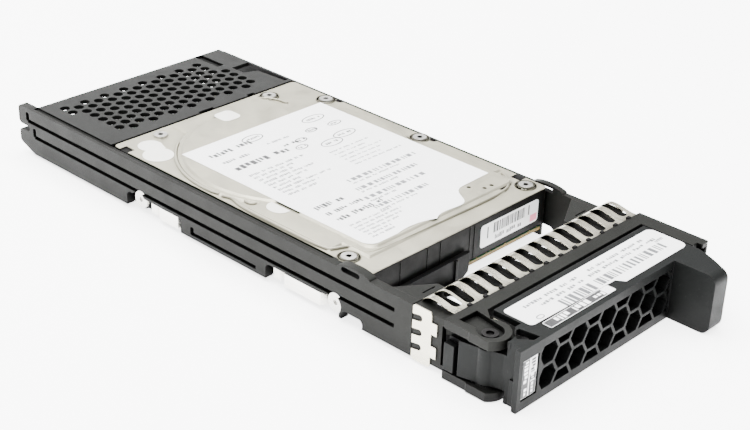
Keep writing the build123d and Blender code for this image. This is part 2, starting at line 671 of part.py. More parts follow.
with BuildPart() as cover_screws:
    with Locations(*[(x, y, flange_top + 0.25) for x, y in cover_holes]):
        Cylinder(2.0, 0.5)
    with Locations(*[(x, y, middle(cover_under, flange_top)) for x, y in cover_holes]):
        Cylinder(1.05, flange_top - cover_under)
    with Locations(*[(x, y, flange_top + 0.35) for x, y in cover_holes]):
        Cylinder(0.7, 0.4, mode=Mode.SUBTRACT)
cover_screws.part.label = "cover_screws"
export_step(cover_screws.part, "parts/cover_screws.step")

# Cover label, with a wavy front right corner.
with BuildPart() as cover_label:
    with BuildSketch(Plane.XY.offset(dome_top)) as cover_label_view:
        with BuildLine():
            Polyline((-26.0, drive_y + 12.0), (-26.0, drive_y + 81.2), (28.0, drive_y + 81.2),
                     (28.0, drive_y + 15.4), (16.6, drive_y + 15.0))
            Spline((16.6, drive_y + 15.0), (12.6, drive_y + 12.6), (10.0, drive_y + 8.6),
                   (3.6, drive_y + 8.4), (-2.4, drive_y + 7.2))
            Spline((-2.4, drive_y + 7.2), (-8.0, drive_y + 8.9), (-16.0, drive_y + 8.6))
            Line((-16.0, drive_y + 8.6), (-22.6, drive_y + 8.6))
            ThreePointArc((-22.6, drive_y + 8.6), (-25.0, drive_y + 9.6), (-26.0, drive_y + 12.0))
        make_face()
    extrude(amount=0.08)
cover_label.part.label = "cover_label"
export_step(cover_label.part, "parts/cover_label.step")

with BuildPart() as cover_seals:
    with BuildSketch(Plane.XY.offset(flange_top)) as seal_view:
        with Locations((-27.6, drive_y + 93.2)):
            Circle(3.5)
        with Locations((-29.7, drive_y + 87.0)):
            Circle(4.4)
        polygon((-30.8, drive_y + 91.8), (-25.4, drive_y + 89.0), (-24.6, drive_y + 91.4),
                (-30.6, drive_y + 94.4))
    extrude(amount=0.08)
    with BuildSketch(Plane.XY.offset(dome_top)) as square_seal_view:
        with Locations((0.8, drive_y + 92.6)):
            RectangleRounded(6.4, 6.4, 1.8)
    extrude(amount=0.08)
    with BuildSketch(Plane.XY.offset(deck_top)) as oval_seal_view:
        with Locations((-27.2, drive_y + 40.2)):
            RectangleRounded(6.6, 7.0, 3.0)
        flat(-26.8, -20, drive_y + 30, drive_y + 50, mode=Mode.SUBTRACT)
    extrude(amount=0.08)
cover_seals.part.label = "cover_seals"
export_step(cover_seals.part, "parts/cover_seals.step")

with BuildPart() as front_sticker:
    with BuildSketch(Plane.XZ.offset(-drive_y)) as sticker_view:
        with Locations((middle(7.0, 31.2), middle(6.6, 13.2))):
            RectangleRounded(24.2, 6.6, 1.0)
    extrude(amount=0.08)
front_sticker.part.label = "front_sticker"
export_step(front_sticker.part, "parts/front_sticker.step")

# ---------------------------------------------------------------- circuit board
board_front = drive_y - 0.2
board_rear = drive_rear_y - 1.6
board_screw_places = [(-24.0, drive_y + 12), (24.0, drive_y + 12), (-24.0, drive_rear_y - 16),
                      (24.0, drive_rear_y - 16)]

with BuildPart() as circuit_board:
    with BuildSketch(Plane.XY.offset(board_z)) as board_plan:
        flat(-32.6, 32.6, board_front, drive_y + 4.6)
        flat(-skirt_inner + 0.5, skirt_inner - 0.5, drive_y + 4.0, board_rear)
        with Locations((-1.0, board_front)):
            Circle(0.9, mode=Mode.SUBTRACT)
        with Locations(*board_screw_places):
            Circle(1.1, mode=Mode.SUBTRACT)
    extrude(amount=board_thick)
circuit_board.part.label = "circuit_board"
export_step(circuit_board.part, "parts/circuit_board.step")

chips = [(-10, 30, 14, 14), (10, 34, 9, 9), (14, 56, 8, 12), (-14, 56, 6, 8), (-2, 74, 10, 6),
         (16, 76, 5, 5), (-16, 14, 5, 7), (6, 14, 7, 4)]
with BuildPart() as board_chips:
    for x, y, width, depth in chips:
        box(x - width / 2, x + width / 2, drive_y + y - depth / 2, drive_y + y + depth / 2,
            board_z - 1.1, board_z)
board_chips.part.label = "board_chips"
export_step(board_chips.part, "parts/board_chips.step")

with BuildPart() as board_screws:
    with Locations(*[(x, y, board_z - 0.35) for x, y in board_screw_places]):
        Cylinder(1.8, 0.7)
    with Locations(*[(x, y, board_z + 0.6) for x, y in board_screw_places]):
        Cylinder(1.0, 1.2)
board_screws.part.label = "board_screws"
export_step(board_screws.part, "parts/board_screws.step")

# SAS plug at the rear of the drive: shroud with a tongue inside.
with BuildPart() as sas_connector:
    box(-plug_half, plug_half, plug_front, drive_rear_y - 0.4, board_z + board_thick, 8.4)
    box(-plug_half + 1.2, plug_half - 1.2, plug_front + 1.0, drive_rear_y, 5.3, 7.5, mode=Mode.SUBTRACT)
    box(-plug_half + 2.2, plug_half - 2.2, plug_front + 1.0, drive_rear_y - 0.6, 6.0, 6.8)
sas_connector.part.label = "sas_connector"
export_step(sas_connector.part, "parts/sas_connector.step")

# ================================================================ disc pack
platter_r = 32.5
platter_thick = 0.8
platter_pitch = 2.6
platter_z = [7.5 + platter_pitch * index for index in range(3)]
hub_r = 10.0
motor_z = cavity_z

with BuildPart() as spindle_motor:
    with Locations((0, spindle_y, motor_z + 0.4)):
        Cylinder(12.5, 0.8)
    with Locations((0, spindle_y, motor_z + 0.8 + 2.6)):
        Cylinder(2.0, 5.2)
    with Locations((0, spindle_y, motor_z + 0.8 + 1.2)):
        Cylinder(6.4, 2.4)
spindle_motor.part.label = "spindle_motor"
export_step(spindle_motor.part, "parts/spindle_motor.step")

hub_z0 = motor_z + 1.0
hub_z1 = platter_z[-1] + platter_thick
with BuildPart() as spindle_hub:
    with Locations((0, spindle_y, middle(hub_z0, hub_z1))):
        Cylinder(hub_r, hub_z1 - hub_z0)
    with Locations((0, spindle_y, middle(hub_z0, platter_z[0]))):
        Cylinder(12.2, platter_z[0] - hub_z0)
    with Locations((0, spindle_y, hub_z0 + 1.3)):
        Cylinder(6.7, 2.6, mode=Mode.SUBTRACT)
    with Locations((0, spindle_y, hub_z0 + 3.1)):
        Cylinder(2.05, 6.2, mode=Mode.SUBTRACT)
spindle_hub.part.label = "spindle_hub"
export_step(spindle_hub.part, "parts/spindle_hub.step")

for name, z in zip(("platter_bottom", "platter_middle", "platter_top"), platter_z):
    with BuildPart() as platter:
        with Locations((0, spindle_y, z + platter_thick / 2)):
            Cylinder(platter_r, platter_thick)
            Cylinder(hub_r + 0.02, platter_thick, mode=Mode.SUBTRACT)
    platter.part.label = name
    export_step(platter.part, f"parts/{name}.step")

with BuildPart() as platter_spacers:
    for z in platter_z[:-1]:
        with Locations((0, spindle_y, z + middle(platter_thick, platter_pitch))):
            Cylinder(12.2, platter_pitch - platter_thick)
            Cylinder(hub_r + 0.02, platter_pitch - platter_thick, mode=Mode.SUBTRACT)
platter_spacers.part.label = "platter_spacers"
export_step(platter_spacers.part, "parts/platter_spacers.step")

clamp_screw_places = [ring_point(6.5, 60 * index, (0, spindle_y)) for index in range(6)]
with BuildPart() as disc_clamp:
    with Locations((0, spindle_y, hub_z1 + 0.4)):
        Cylinder(12.2, 0.8)
        Cylinder(2.4, 0.8, mode=Mode.SUBTRACT)
    with Locations(*[(x, y, hub_z1 + 0.8) for x, y in clamp_screw_places]):
        Hole(0.9, depth=0.8)
disc_clamp.part.label = "disc_clamp"
export_step(disc_clamp.part, "parts/disc_clamp.step")

with BuildPart() as clamp_screws:
    with Locations(*[(x, y, hub_z1 + 0.8 + 0.2) for x, y in clamp_screw_places]):
        Cylinder(1.4, 0.4)
    with Locations(*[(x, y, hub_z1 + 0.4) for x, y in clamp_screw_places]):
        Cylinder(0.85, 0.8)
clamp_screws.part.label = "clamp_screws"
export_step(clamp_screws.part, "parts/clamp_screws.step")

# ================================================================ head actuator
arm_reach = 27.0
head_reach = 40.0
park_angle = 155.0
arm_thick = 0.9
arm_z = [platter_z[0] - 1.15, middle(platter_z[0] + platter_thick, platter_z[1]) - arm_thick / 2,
         middle(platter_z[1] + platter_thick, platter_z[2]) - arm_thick / 2,
         platter_z[2] + platter_thick + 0.35]
pivot_top = arm_z[-1] + arm_thick
pivot = (pivot_x, pivot_y)
coil_angle = park_angle + 180


def along(angle, forward, side):
    """A point a given way out from the pivot and a given way to its left."""
    x, y = ring_point(forward, angle, pivot)
    return (x - side * sin(radians(angle)), y + side * cos(radians(angle)))


with BuildPart() as pivot_post:
    with Locations((pivot_x, pivot_y, middle(cavity_z, cover_under))):
        Cylinder(2.0, cover_under - cavity_z)
    with Locations((pivot_x, pivot_y, cavity_z + 0.1)):
        Cylinder(3.6, 0.2)
pivot_post.part.label = "pivot_post"
export_step(pivot_post.part, "parts/pivot_post.step")

with BuildPart() as pivot_bearings:
    for z in (cavity_z + 1.1, pivot_top - 0.9):
        with Locations((pivot_x, pivot_y, z)):
            Cylinder(3.4, 1.6)
            Cylinder(2.05, 1.6, mode=Mode.SUBTRACT)
pivot_bearings.part.label = "pivot_bearings"
export_step(pivot_bearings.part, "parts/pivot_bearings.step")

with BuildPart() as actuator_arm:
    with Locations((pivot_x, pivot_y, middle(cavity_z + 0.3, pivot_top))):
        Cylinder(5.6, pivot_top - cavity_z - 0.3)
    for z in arm_z:
        with BuildSketch(Plane.XY.offset(z)):
            polygon(along(park_angle, 2, 4.8), along(park_angle, arm_reach, 1.6),
                    along(park_angle, arm_reach, -1.6), along(park_angle, 2, -4.8))
        extrude(amount=arm_thick)
    # fork that carries the coil
    with BuildSketch(Plane.XY.offset(9.0)) as fork:
        polygon(along(coil_angle, 3, 4.6), along(coil_angle, 11.8, 5.2),
                along(coil_angle, 11.8, -5.2), along(coil_angle, 3, -4.6))
    extrude(amount=2.2)
    with BuildSketch(Plane.XY.offset(9.0)) as fork_window:
        polygon(along(coil_angle, 6.4, 3.6), along(coil_angle, 12.2, 4.2),
                along(coil_angle, 12.2, -4.2), along(coil_angle, 6.4, -3.6))
    extrude(amount=2.2, mode=Mode.SUBTRACT)
    with Locations((pivot_x, pivot_y, middle(cavity_z, pivot_top))):
        Cylinder(3.45, 20, mode=Mode.SUBTRACT)
actuator_arm.part.label = "actuator_arm"
export_step(actuator_arm.part, "parts/actuator_arm.step")

with BuildPart() as voice_coil:
    with BuildSketch(Plane.XY.offset(9.1)) as coil_plan:
        polygon(along(coil_angle, 6.5, 3.5), along(coil_angle, 12.0, 4.0),
                along(coil_angle, 12.0, -4.0), along(coil_angle, 6.5, -3.5))
        polygon(along(coil_angle, 8.0, 1.4), along(coil_angle, 11.4, 2.2),
                along(coil_angle, 11.4, -2.2), along(coil_angle, 8.0, -1.4), mode=Mode.SUBTRACT)
    extrude(amount=2.0)
voice_coil.part.label = "voice_coil"
export_step(voice_coil.part, "parts/voice_coil.step")

suspension_thick = 0.2
suspension_z = [arm_z[0] + arm_thick, arm_z[1] - suspension_thick, arm_z[1] + arm_thick,
                arm_z[2] - suspension_thick, arm_z[2] + arm_thick, arm_z[3] - suspension_thick]
with BuildPart() as head_suspensions:
    for z in suspension_z:
        with BuildSketch(Plane.XY.offset(z)):
            polygon(along(park_angle, arm_reach - 4, 1.4), along(park_angle, head_reach, 0.7),
                    along(park_angle, head_reach, -0.7), along(park_angle, arm_reach - 4, -1.4))
        extrude(amount=suspension_thick)
head_suspensions.part.label = "head_suspensions"
export_step(head_suspensions.part, "parts/head_suspensions.step")

# Voice coil motor: two steel yokes with magnets, held apart by posts.
yoke_in = 5.9
yoke_out = 16.5
yoke_angles = (coil_angle - 52, coil_angle + 20)
yoke_low_z = 6.0
yoke_thick = 1.0
magnet_thick = 1.4
yoke_high_z = 13.0


def fan_outline(radius_in, radius_out, angles):
    """A fan about the pivot between two radii and two angles, kept inside the casting."""
    start, end = angles
    mid = middle(start, end)
    with BuildLine() as outline:
        ThreePointArc(ring_point(radius_in, start, pivot), ring_point(radius_in, mid, pivot),
                      ring_point(radius_in, end, pivot))
        ThreePointArc(ring_point(radius_out, start, pivot), ring_point(radius_out, mid, pivot),
                      ring_point(radius_out, end, pivot))
        Line(ring_point(radius_in, start, pivot), ring_point(radius_out, start, pivot))
        Line(ring_point(radius_in, end, pivot), ring_point(radius_out, end, pivot))
    make_face(outline.edges())
    flat(pivot_x - 25, cavity_right - 0.2, cavity_front + 0.2, pivot_y + 20, mode=Mode.INTERSECT)


with BuildPart() as lower_yoke:
    with BuildSketch(Plane.XY.offset(yoke_low_z)) as lower_fan:
        fan_outline(yoke_in, yoke_out, yoke_angles)
    extrude(amount=yoke_thick)
lower_yoke.part.label = "lower_yoke"
export_step(lower_yoke.part, "parts/lower_yoke.step")

with BuildPart() as upper_yoke:
    with BuildSketch(Plane.XY.offset(yoke_high_z)) as upper_fan:
        fan_outline(yoke_in, yoke_out, yoke_angles)
    extrude(amount=yoke_thick)
upper_yoke.part.label = "upper_yoke"
export_step(upper_yoke.part, "parts/upper_yoke.step")

with BuildPart() as yoke_magnets:
    for z in (yoke_low_z + yoke_thick, yoke_high_z - magnet_thick):
        with BuildSketch(Plane.XY.offset(z)):
            fan_outline(yoke_in + 1.2, yoke_out - 3.0, (yoke_angles[0] + 6, yoke_angles[1] - 6))
        extrude(amount=magnet_thick)
yoke_magnets.part.label = "yoke_magnets"
export_step(yoke_magnets.part, "parts/yoke_magnets.step")

post_places = [ring_point(15.2, coil_angle + 14, pivot)]
with BuildPart() as yoke_post:
    with Locations(*[(x, y, middle(yoke_low_z + yoke_thick, yoke_high_z)) for x, y in post_places]):
        Cylinder(1.0, yoke_high_z - yoke_low_z - yoke_thick)
yoke_post.part.label = "yoke_post"
export_step(yoke_post.part, "parts/yoke_post.step")

# Load ramp: a block just beyond the parked suspension tips, clear of the disc edge.
ramp_x, ramp_y = ring_point(head_reach + 1.6, park_angle, pivot)
with BuildPart() as load_ramp:
    box(ramp_x - 4.4, ramp_x - 0.6, ramp_y - 3.0, ramp_y + 3.0, cavity_z, platter_z[2] + 1.2)
load_ramp.part.label = "load_ramp"
export_step(load_ramp.part, "parts/load_ramp.step")

with BuildPart() as crash_stops:
    with Locations((*along(park_angle, 9, 8.6), middle(cavity_z, 12))):
        Cylinder(1.2, 12 - cavity_z)
crash_stops.part.label = "crash_stops"
export_step(crash_stops.part, "parts/crash_stops.step")

with BuildPart() as recirculation_filter:
    box(-30.4, -23.8, drive_rear_y - 9.0, drive_rear_y - 6.4, cavity_z, 13.6)
recirculation_filter.part.label = "recirculation_filter"
export_step(recirculation_filter.part, "parts/recirculation_filter.step")

with BuildPart() as flex_bracket:
    box(-6.0, 6.0, cavity_front + 0.3, cavity_front + 6.0, cavity_z, cavity_z + 1.6)
    box(-4.0, 4.0, cavity_front + 1.2, cavity_front + 4.6, cavity_z + 1.6, cavity_z + 3.4)
flex_bracket.part.label = "flex_bracket"
export_step(flex_bracket.part, "parts/flex_bracket.step")

flex_y = cavity_front + 4.6
with BuildPart() as flex_circuit:
    box(3.0, 9.6, flex_y + 0.1, flex_y + 0.4, cavity_z + 2.0, cavity_z + 5.0)
    box(9.3, 9.6, flex_y + 0.1, flex_y + 5.6, cavity_z + 2.0, cavity_z + 5.0)
flex_circuit.part.label = "flex_circuit"
export_step(flex_circuit.part, "parts/flex_circuit.step")

# ================================================================ interposer board
with BuildPart() as interposer_board:
    with BuildSketch(Plane.XY.offset(inter_z)) as inter_plan:
        flat(-33.6, 33.6, inter_y0, inter_y1)
        with Locations((-inter_screw_x, inter_screw_y), (inter_screw_x, inter_screw_y)):
            Circle(1.1, mode=Mode.SUBTRACT)
    extrude(amount=inter_thick)
interposer_board.part.label = "interposer_board"
export_step(interposer_board.part, "parts/interposer_board.step")

with BuildPart() as interposer_screws:
    for x in (-inter_screw_x, inter_screw_x):
        with Locations((x, inter_screw_y, inter_z + inter_thick + 0.4)):
            Cylinder(1.8, 0.8)
        with Locations((x, inter_screw_y, inter_z + inter_thick / 2 - 0.3)):
            Cylinder(1.0, inter_thick + 0.6)
        with Locations((x, inter_screw_y, inter_z + inter_thick + 0.6)):
            Cylinder(0.7, 0.6, mode=Mode.SUBTRACT)
interposer_screws.part.label = "interposer_screws"
export_step(interposer_screws.part, "parts/interposer_screws.step")

with BuildPart() as drive_socket:
    box(-plug_half + 0.3, plug_half - 0.3, drive_rear_y + 0.2, inter_y0 + 5.5, inter_z + inter_thick, 9.4)
    box(-plug_half + 1.6, plug_half - 1.6, drive_rear_y + 0.1, drive_rear_y + 4.4, 5.9, 6.9,
        mode=Mode.SUBTRACT)
drive_socket.part.label = "drive_socket"
export_step(drive_socket.part, "parts/drive_socket.step")

backplane_half = 20.5
with BuildPart() as backplane_plug:
    box(-backplane_half, backplane_half, inter_y1 - 6, vent_rear_y + 2.0, inter_z + inter_thick, 10.2)
    box(-backplane_half + 1.2, backplane_half - 1.2, inter_y1 - 2, vent_rear_y + 3, 5.8, 9.0,
        mode=Mode.SUBTRACT)
    box(-backplane_half + 2.4, backplane_half - 2.4, inter_y1 - 2, vent_rear_y + 1.2, 6.9, 7.8)
backplane_plug.part.label = "backplane_plug"
export_step(backplane_plug.part, "parts/backplane_plug.step")

with BuildPart() as interposer_chips:
    for x, y, width, depth in ((-12, 13, 9, 9), (4, 14, 12, 8), (19, 12, 5, 6), (-25, 14, 4, 8)):
        box(x - width / 2, x + width / 2, inter_y0 + y - depth / 2, inter_y0 + y + depth / 2,
            inter_z + inter_thick, inter_z + inter_thick + 1.2)
interposer_chips.part.label = "interposer_chips"
export_step(interposer_chips.part, "parts/interposer_chips.step")
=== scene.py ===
import random
from math import cos, pi, radians, sin

import bmesh
import bpy
from mathutils import Matrix, Vector


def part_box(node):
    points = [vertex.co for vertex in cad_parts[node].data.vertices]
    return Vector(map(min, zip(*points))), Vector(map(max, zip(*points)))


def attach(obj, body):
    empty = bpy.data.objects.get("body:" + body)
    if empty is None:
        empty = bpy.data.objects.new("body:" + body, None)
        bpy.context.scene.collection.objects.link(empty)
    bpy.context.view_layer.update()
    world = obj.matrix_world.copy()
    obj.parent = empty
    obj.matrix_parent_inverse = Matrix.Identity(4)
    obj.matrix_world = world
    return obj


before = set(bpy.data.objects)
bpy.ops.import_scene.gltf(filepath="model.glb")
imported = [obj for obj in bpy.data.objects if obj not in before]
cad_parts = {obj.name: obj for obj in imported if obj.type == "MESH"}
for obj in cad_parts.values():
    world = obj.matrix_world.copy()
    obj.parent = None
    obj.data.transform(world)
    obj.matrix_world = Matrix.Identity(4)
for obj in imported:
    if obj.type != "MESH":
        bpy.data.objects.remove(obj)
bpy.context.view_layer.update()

MM = 0.001


def mm(*values):
    """A point given in millimetres, as a vector in metres."""
    return Vector(values) * MM


# ---------------------------------------------------------------- CAD boxes the details are placed from
plug_low, plug_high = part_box("backplane_plug")
board_low, board_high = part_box("circuit_board")
inter_low, inter_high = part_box("interposer_board")
label_low, label_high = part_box("cover_label")
lever_label_low, lever_label_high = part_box("lever_label")
strip_low, strip_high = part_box("lever_code_strip")
bezel_low, bezel_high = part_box("bezel_label")
sticker_low, sticker_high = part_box("front_sticker")
spring_strip_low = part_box("emi_strip_top")[0]


# ================================================================ materials
def material(name, colour, rough, metallic=0.0, coat=0.0, specular=0.5):
    """A new node material, its even values on the shader itself."""
    made = bpy.data.materials.new(name)
    made.use_nodes = True
    shader = made.node_tree.nodes["Principled BSDF"]
    shader.inputs["Base Color"].default_value = (*colour, 1)
    shader.inputs["Roughness"].default_value = rough
    shader.inputs["Metallic"].default_value = metallic
    shader.inputs["Coat Weight"].default_value = coat
    shader.inputs["Specular IOR Level"].default_value = specular
    return made


def shader_of(made):
    """The material's one shader node."""
    return made.node_tree.nodes["Principled BSDF"]


def noise(made, scale, detail=4.0, stretch=(1, 1, 1)):
    """Noise over the object's own coordinates, scale in cycles per metre."""
    tree = made.node_tree
    coords = tree.nodes.new("ShaderNodeTexCoord")
    mapping = tree.nodes.new("ShaderNodeMapping")
    mapping.inputs["Scale"].default_value = stretch
    field = tree.nodes.new("ShaderNodeTexNoise")
    field.inputs["Scale"].default_value = scale
    field.inputs["Detail"].default_value = detail
    tree.links.new(coords.outputs["Object"], mapping.inputs["Vector"])
    tree.links.new(mapping.outputs["Vector"], field.inputs["Vector"])
    return field.outputs["Fac"]


def remap(made, value, low, high, to_low, to_high):
    """Value taken from one range to another, clamped."""
    node = made.node_tree.nodes.new("ShaderNodeMapRange")
    node.inputs["From Min"].default_value = low
    node.inputs["From Max"].default_value = high
    node.inputs["To Min"].default_value = to_low
    node.inputs["To Max"].default_value = to_high
    made.node_tree.links.new(value, node.inputs["Value"])
    return node.outputs["Result"]


def math_node(made, operation, first, second):
    """One maths step; each input is a socket or a number."""
    node = made.node_tree.nodes.new("ShaderNodeMath")
    node.operation = operation
    for place, value in zip((0, 1), (first, second)):
        if isinstance(value, (int, float)):
            node.inputs[place].default_value = value
        else:
            made.node_tree.links.new(value, node.inputs[place])
    return node.outputs["Value"]


def mix_colour(made, factor, first, second):
    """Blend of two colours, each a socket or an RGB triple."""
    node = made.node_tree.nodes.new("ShaderNodeMix")
    node.data_type = "RGBA"
    colour_sockets = [socket for socket in node.inputs if socket.type == "RGBA"]
    made.node_tree.links.new(factor, node.inputs["Factor"])
    for socket, value in zip(colour_sockets, (first, second)):
        if isinstance(value, (tuple, list)):
            socket.default_value = (*value, 1)
        else:
            made.node_tree.links.new(value, socket)
    return next(socket for socket in node.outputs if socket.type == "RGBA")


def set_colour(made, value):
    """Feeds a colour that varies over the surface to the shader."""
    made.node_tree.links.new(value, shader_of(made).inputs["Base Color"])


def set_roughness(made, value):
    """Feeds a roughness that varies over the surface to the shader."""
    made.node_tree.links.new(value, shader_of(made).inputs["Roughness"])


def relief(made, height, depth, edge=0.0):
    """Bump from a height, over edges rounded by the given radius, both in metres."""
    tree = made.node_tree
    bump = tree.nodes.new("ShaderNodeBump")
    bump.inputs["Strength"].default_value = 1.0
    bump.inputs["Distance"].default_value = depth
    tree.links.new(height, bump.inputs["Height"])
    if edge > 0:
        bevel = tree.nodes.new("ShaderNodeBevel")
        bevel.samples = 4
        bevel.inputs["Radius"].default_value = edge
        tree.links.new(bevel.outputs["Normal"], bump.inputs["Normal"])
    tree.links.new(bump.outputs["Normal"], shader_of(made).inputs["Normal"])


# Ambient occlusion at which a surface counts as fully shut in, and as open.
SHUT_IN, OPEN_FLAT = 0.34, 0.95


def edge_wear_and_highlight(made, radius):
    """1 on convex and concave edges within the radius, 0 on flats."""
    tree = made.node_tree
    bevel = tree.nodes.new("ShaderNodeBevel")
    bevel.samples = 4
    bevel.inputs["Radius"].default_value = radius
    geometry = tree.nodes.new("ShaderNodeNewGeometry")
    dot = tree.nodes.new("ShaderNodeVectorMath")
    dot.operation = "DOT_PRODUCT"
    tree.links.new(bevel.outputs["Normal"], dot.inputs[0])
    tree.links.new(geometry.outputs["Normal"], dot.inputs[1])
    return remap(made, dot.outputs["Value"], 0.98, 0.80, 0.0, 1.0)


def shade_cavities(made, value, reach, depth):
    """Darkens a colour where the surface is shut in within the reach, as in slots and cells, down to
    the given share of itself."""
    tree = made.node_tree
    shut = tree.nodes.new("ShaderNodeAmbientOcclusion")
    shut.samples = 6
    shut.inputs["Distance"].default_value = reach
    openness = remap(made, shut.outputs["AO"], SHUT_IN, OPEN_FLAT, 0.0, 1.0)
    dark = mix_colour(made, openness, (depth, depth, depth), (1, 1, 1))
    product = tree.nodes.new("ShaderNodeVectorMath")
    product.operation = "MULTIPLY"
    tree.links.new(value, product.inputs[0])
    tree.links.new(dark, product.inputs[1])
    return product.outputs["Vector"]


def moulded_plastic(name, colour, rough, grain=0.00004, wear_and_highlight=0.5, specular=0.07):
    """Spark-textured moulding: fine grain, cloudy tone, paler edges that are part wear and part painted
    highlight, a few dust specks, and painted shade in slots, cells and corners.
    """
    made = material(name, colour, rough, specular=specular)
    cloud = remap(made, noise(made, 90), 0.35, 0.65, 0.0, 1.0)
    tone = mix_colour(made, cloud, [c * 0.88 for c in colour], [c * 1.12 for c in colour])
    # paler edges, patchy along their length: part wear, part painted highlight
    worn_and_highlit = math_node(made, "MULTIPLY", edge_wear_and_highlight(made, 0.35 * MM), wear_and_highlight)
    patchy = math_node(made, "MULTIPLY", worn_and_highlit, remap(made, noise(made, 420), 0.35, 0.6, 0.2, 1.0))
    edged = mix_colour(made, patchy, tone, [min(1, c * 3.0 + 0.006) for c in colour])
    dust = remap(made, noise(made, 1500, 2), 0.70, 0.76, 0.0, 0.22)
    specked = mix_colour(made, dust, edged, (0.05, 0.05, 0.048))
    # painted shade: the colour is darkened where the surface is shut in, as in slots, cells and corners
    set_colour(made, shade_cavities(made, specked, 9 * MM, 0.06))
    fine = noise(made, 5200, 2)
    set_roughness(made, remap(made, noise(made, 160), 0.3, 0.7, rough - 0.06, rough + 0.08))
    relief(made, fine, grain, 0.22 * MM)
    return made


def brushed_metal(name, colour, rough, along=(1, 1, 1), scratch=0.000012, edge=0.08, crease_shade_reach=0.0):
    """Rolled or brushed metal with fine lines, smudges and slightly darker stains. A crease
    distance, in millimetres, paints shade at the roots of pressed shapes."""
    made = material(name, colour, rough, metallic=1.0)
    lines = noise(made, 2600, 3, along)
    smudge = remap(made, noise(made, 130), 0.35, 0.7, 0.0, 1.0)
    streak = mix_colour(made, remap(made, lines, 0.3, 0.7, 0.0, 1.0),
                        [c * 0.93 for c in colour], [min(1, c * 1.04) for c in colour])
    stained = mix_colour(made, math_node(made, "MULTIPLY", smudge, 0.35), streak, [c * 0.80 for c in colour])
    # painted shade at the roots of pressed shapes, only when a crease distance is given
    set_colour(made, shade_cavities(made, stained, crease_shade_reach * MM, 0.15) if crease_shade_reach > 0 else stained)
    both = math_node(made, "ADD", remap(made, lines, 0.3, 0.7, -0.06, 0.06),
                     remap(made, smudge, 0, 1, rough - 0.04, rough + 0.10))
    set_roughness(made, both)
    relief(made, lines, scratch, edge * MM)
    return made


def printed_paper(name, colour, rough=0.38):
    """Satin label stock: faint mottling, tiny fibres and soft dents."""
    made = material(name, colour, rough, coat=0.15)
    mottle = remap(made, noise(made, 240), 0.3, 0.7, 0.0, 1.0)
    set_colour(made, mix_colour(made, mottle, [c * 0.965 for c in colour], colour))
    set_roughness(made, remap(made, noise(made, 900), 0.3, 0.7, rough - 0.05, rough + 0.08))
    relief(made, noise(made, 160, 2), 0.00003)
    return made


def ink(name, colour, rough=0.5):
    """Printed ink with uneven cover."""
    made = material(name, colour, rough)
    cover = remap(made, noise(made, 2600, 3), 0.35, 0.65, 0.0, 1.0)
    set_colour(made, mix_colour(made, cover, [min(1, c * 1.25 + 0.02) for c in colour], colour))
    relief(made, noise(made, 3000, 2), 0.000006)
    return made


def cast_metal(name, colour, rough=0.5):
    """Coated casting: sandy bump, cloudy tone, paler edges that are part wear and part painted highlight,
    and painted shade in hollows.
    """
    made = material(name, colour, rough, specular=0.06)
    cloud = remap(made, noise(made, 210), 0.35, 0.65, 0.0, 1.0)
    # paler edges: part wear, part painted highlight
    worn_and_highlit = math_node(made, "MULTIPLY", edge_wear_and_highlight(made, 0.3 * MM), 0.35)
    tone = mix_colour(made, cloud, [c * 0.85 for c in colour], [c * 1.15 for c in colour])
    edged = mix_colour(made, worn_and_highlit, tone, [min(1, c * 3 + 0.004) for c in colour])
    # painted shade: the colour is darkened in hollows and corners
    set_colour(made, shade_cavities(made, edged, 8 * MM, 0.12))
    set_roughness(made, remap(made, noise(made, 500), 0.3, 0.7, rough - 0.08, rough + 0.08))
    relief(made, noise(made, 2400, 3), 0.00003, 0.2 * MM)
    return made


def solder_resist(name, colour):
    """Circuit board: tracks showing through the resist, and bare laminate on the upright edges."""
    made = material(name, colour, 0.32, coat=0.05, specular=0.12)
    tree = made.node_tree
    coords = tree.nodes.new("ShaderNodeTexCoord")
    cells = tree.nodes.new("ShaderNodeTexBrick")
    cells.inputs["Scale"].default_value = 420
    cells.inputs["Mortar Size"].default_value = 0.03
    cells.inputs["Color1"].default_value = (1, 1, 1, 1)
    cells.inputs["Color2"].default_value = (0.75, 0.75, 0.75, 1)
    cells.inputs["Mortar"].default_value = (0, 0, 0, 1)
    tree.links.new(coords.outputs["Object"], cells.inputs["Vector"])
    tone = remap(made, cells.outputs["Fac"], 0, 1, 0, 0.5)
    speck = remap(made, noise(made, 700), 0.58, 0.62, 0, 0.6)
    tracks = mix_colour(made, tone, colour, [c * 1.9 + 0.01 for c in colour])
    face = mix_colour(made, speck, tracks, (0.42, 0.33, 0.14))
    geometry = tree.nodes.new("ShaderNodeNewGeometry")
    facing = tree.nodes.new("ShaderNodeSeparateXYZ")
    tree.links.new(geometry.outputs["True Normal"], facing.inputs[0])
    flatness = math_node(made, "ABSOLUTE", facing.outputs["Z"], 0)
    weave = remap(made, noise(made, 900), 0.4, 0.6, 0, 1)
    laminate = mix_colour(made, weave, (0.060, 0.040, 0.006), (0.14, 0.085, 0.014))
    set_colour(made, mix_colour(made, flatness, laminate, face))
    relief(made, cells.outputs["Fac"], 0.00002, 0.1 * MM)
    return made


def mirror_disc(name, colour):
    """Polished disc with faint turning rings about the spindle."""
    made = material(name, colour, 0.06, metallic=1.0)
    rings = noise(made, 900, 2, (1, 1, 0.1))
    set_roughness(made, remap(made, rings, 0.3, 0.7, 0.04, 0.12))
    relief(made, rings, 0.000002)
    return made


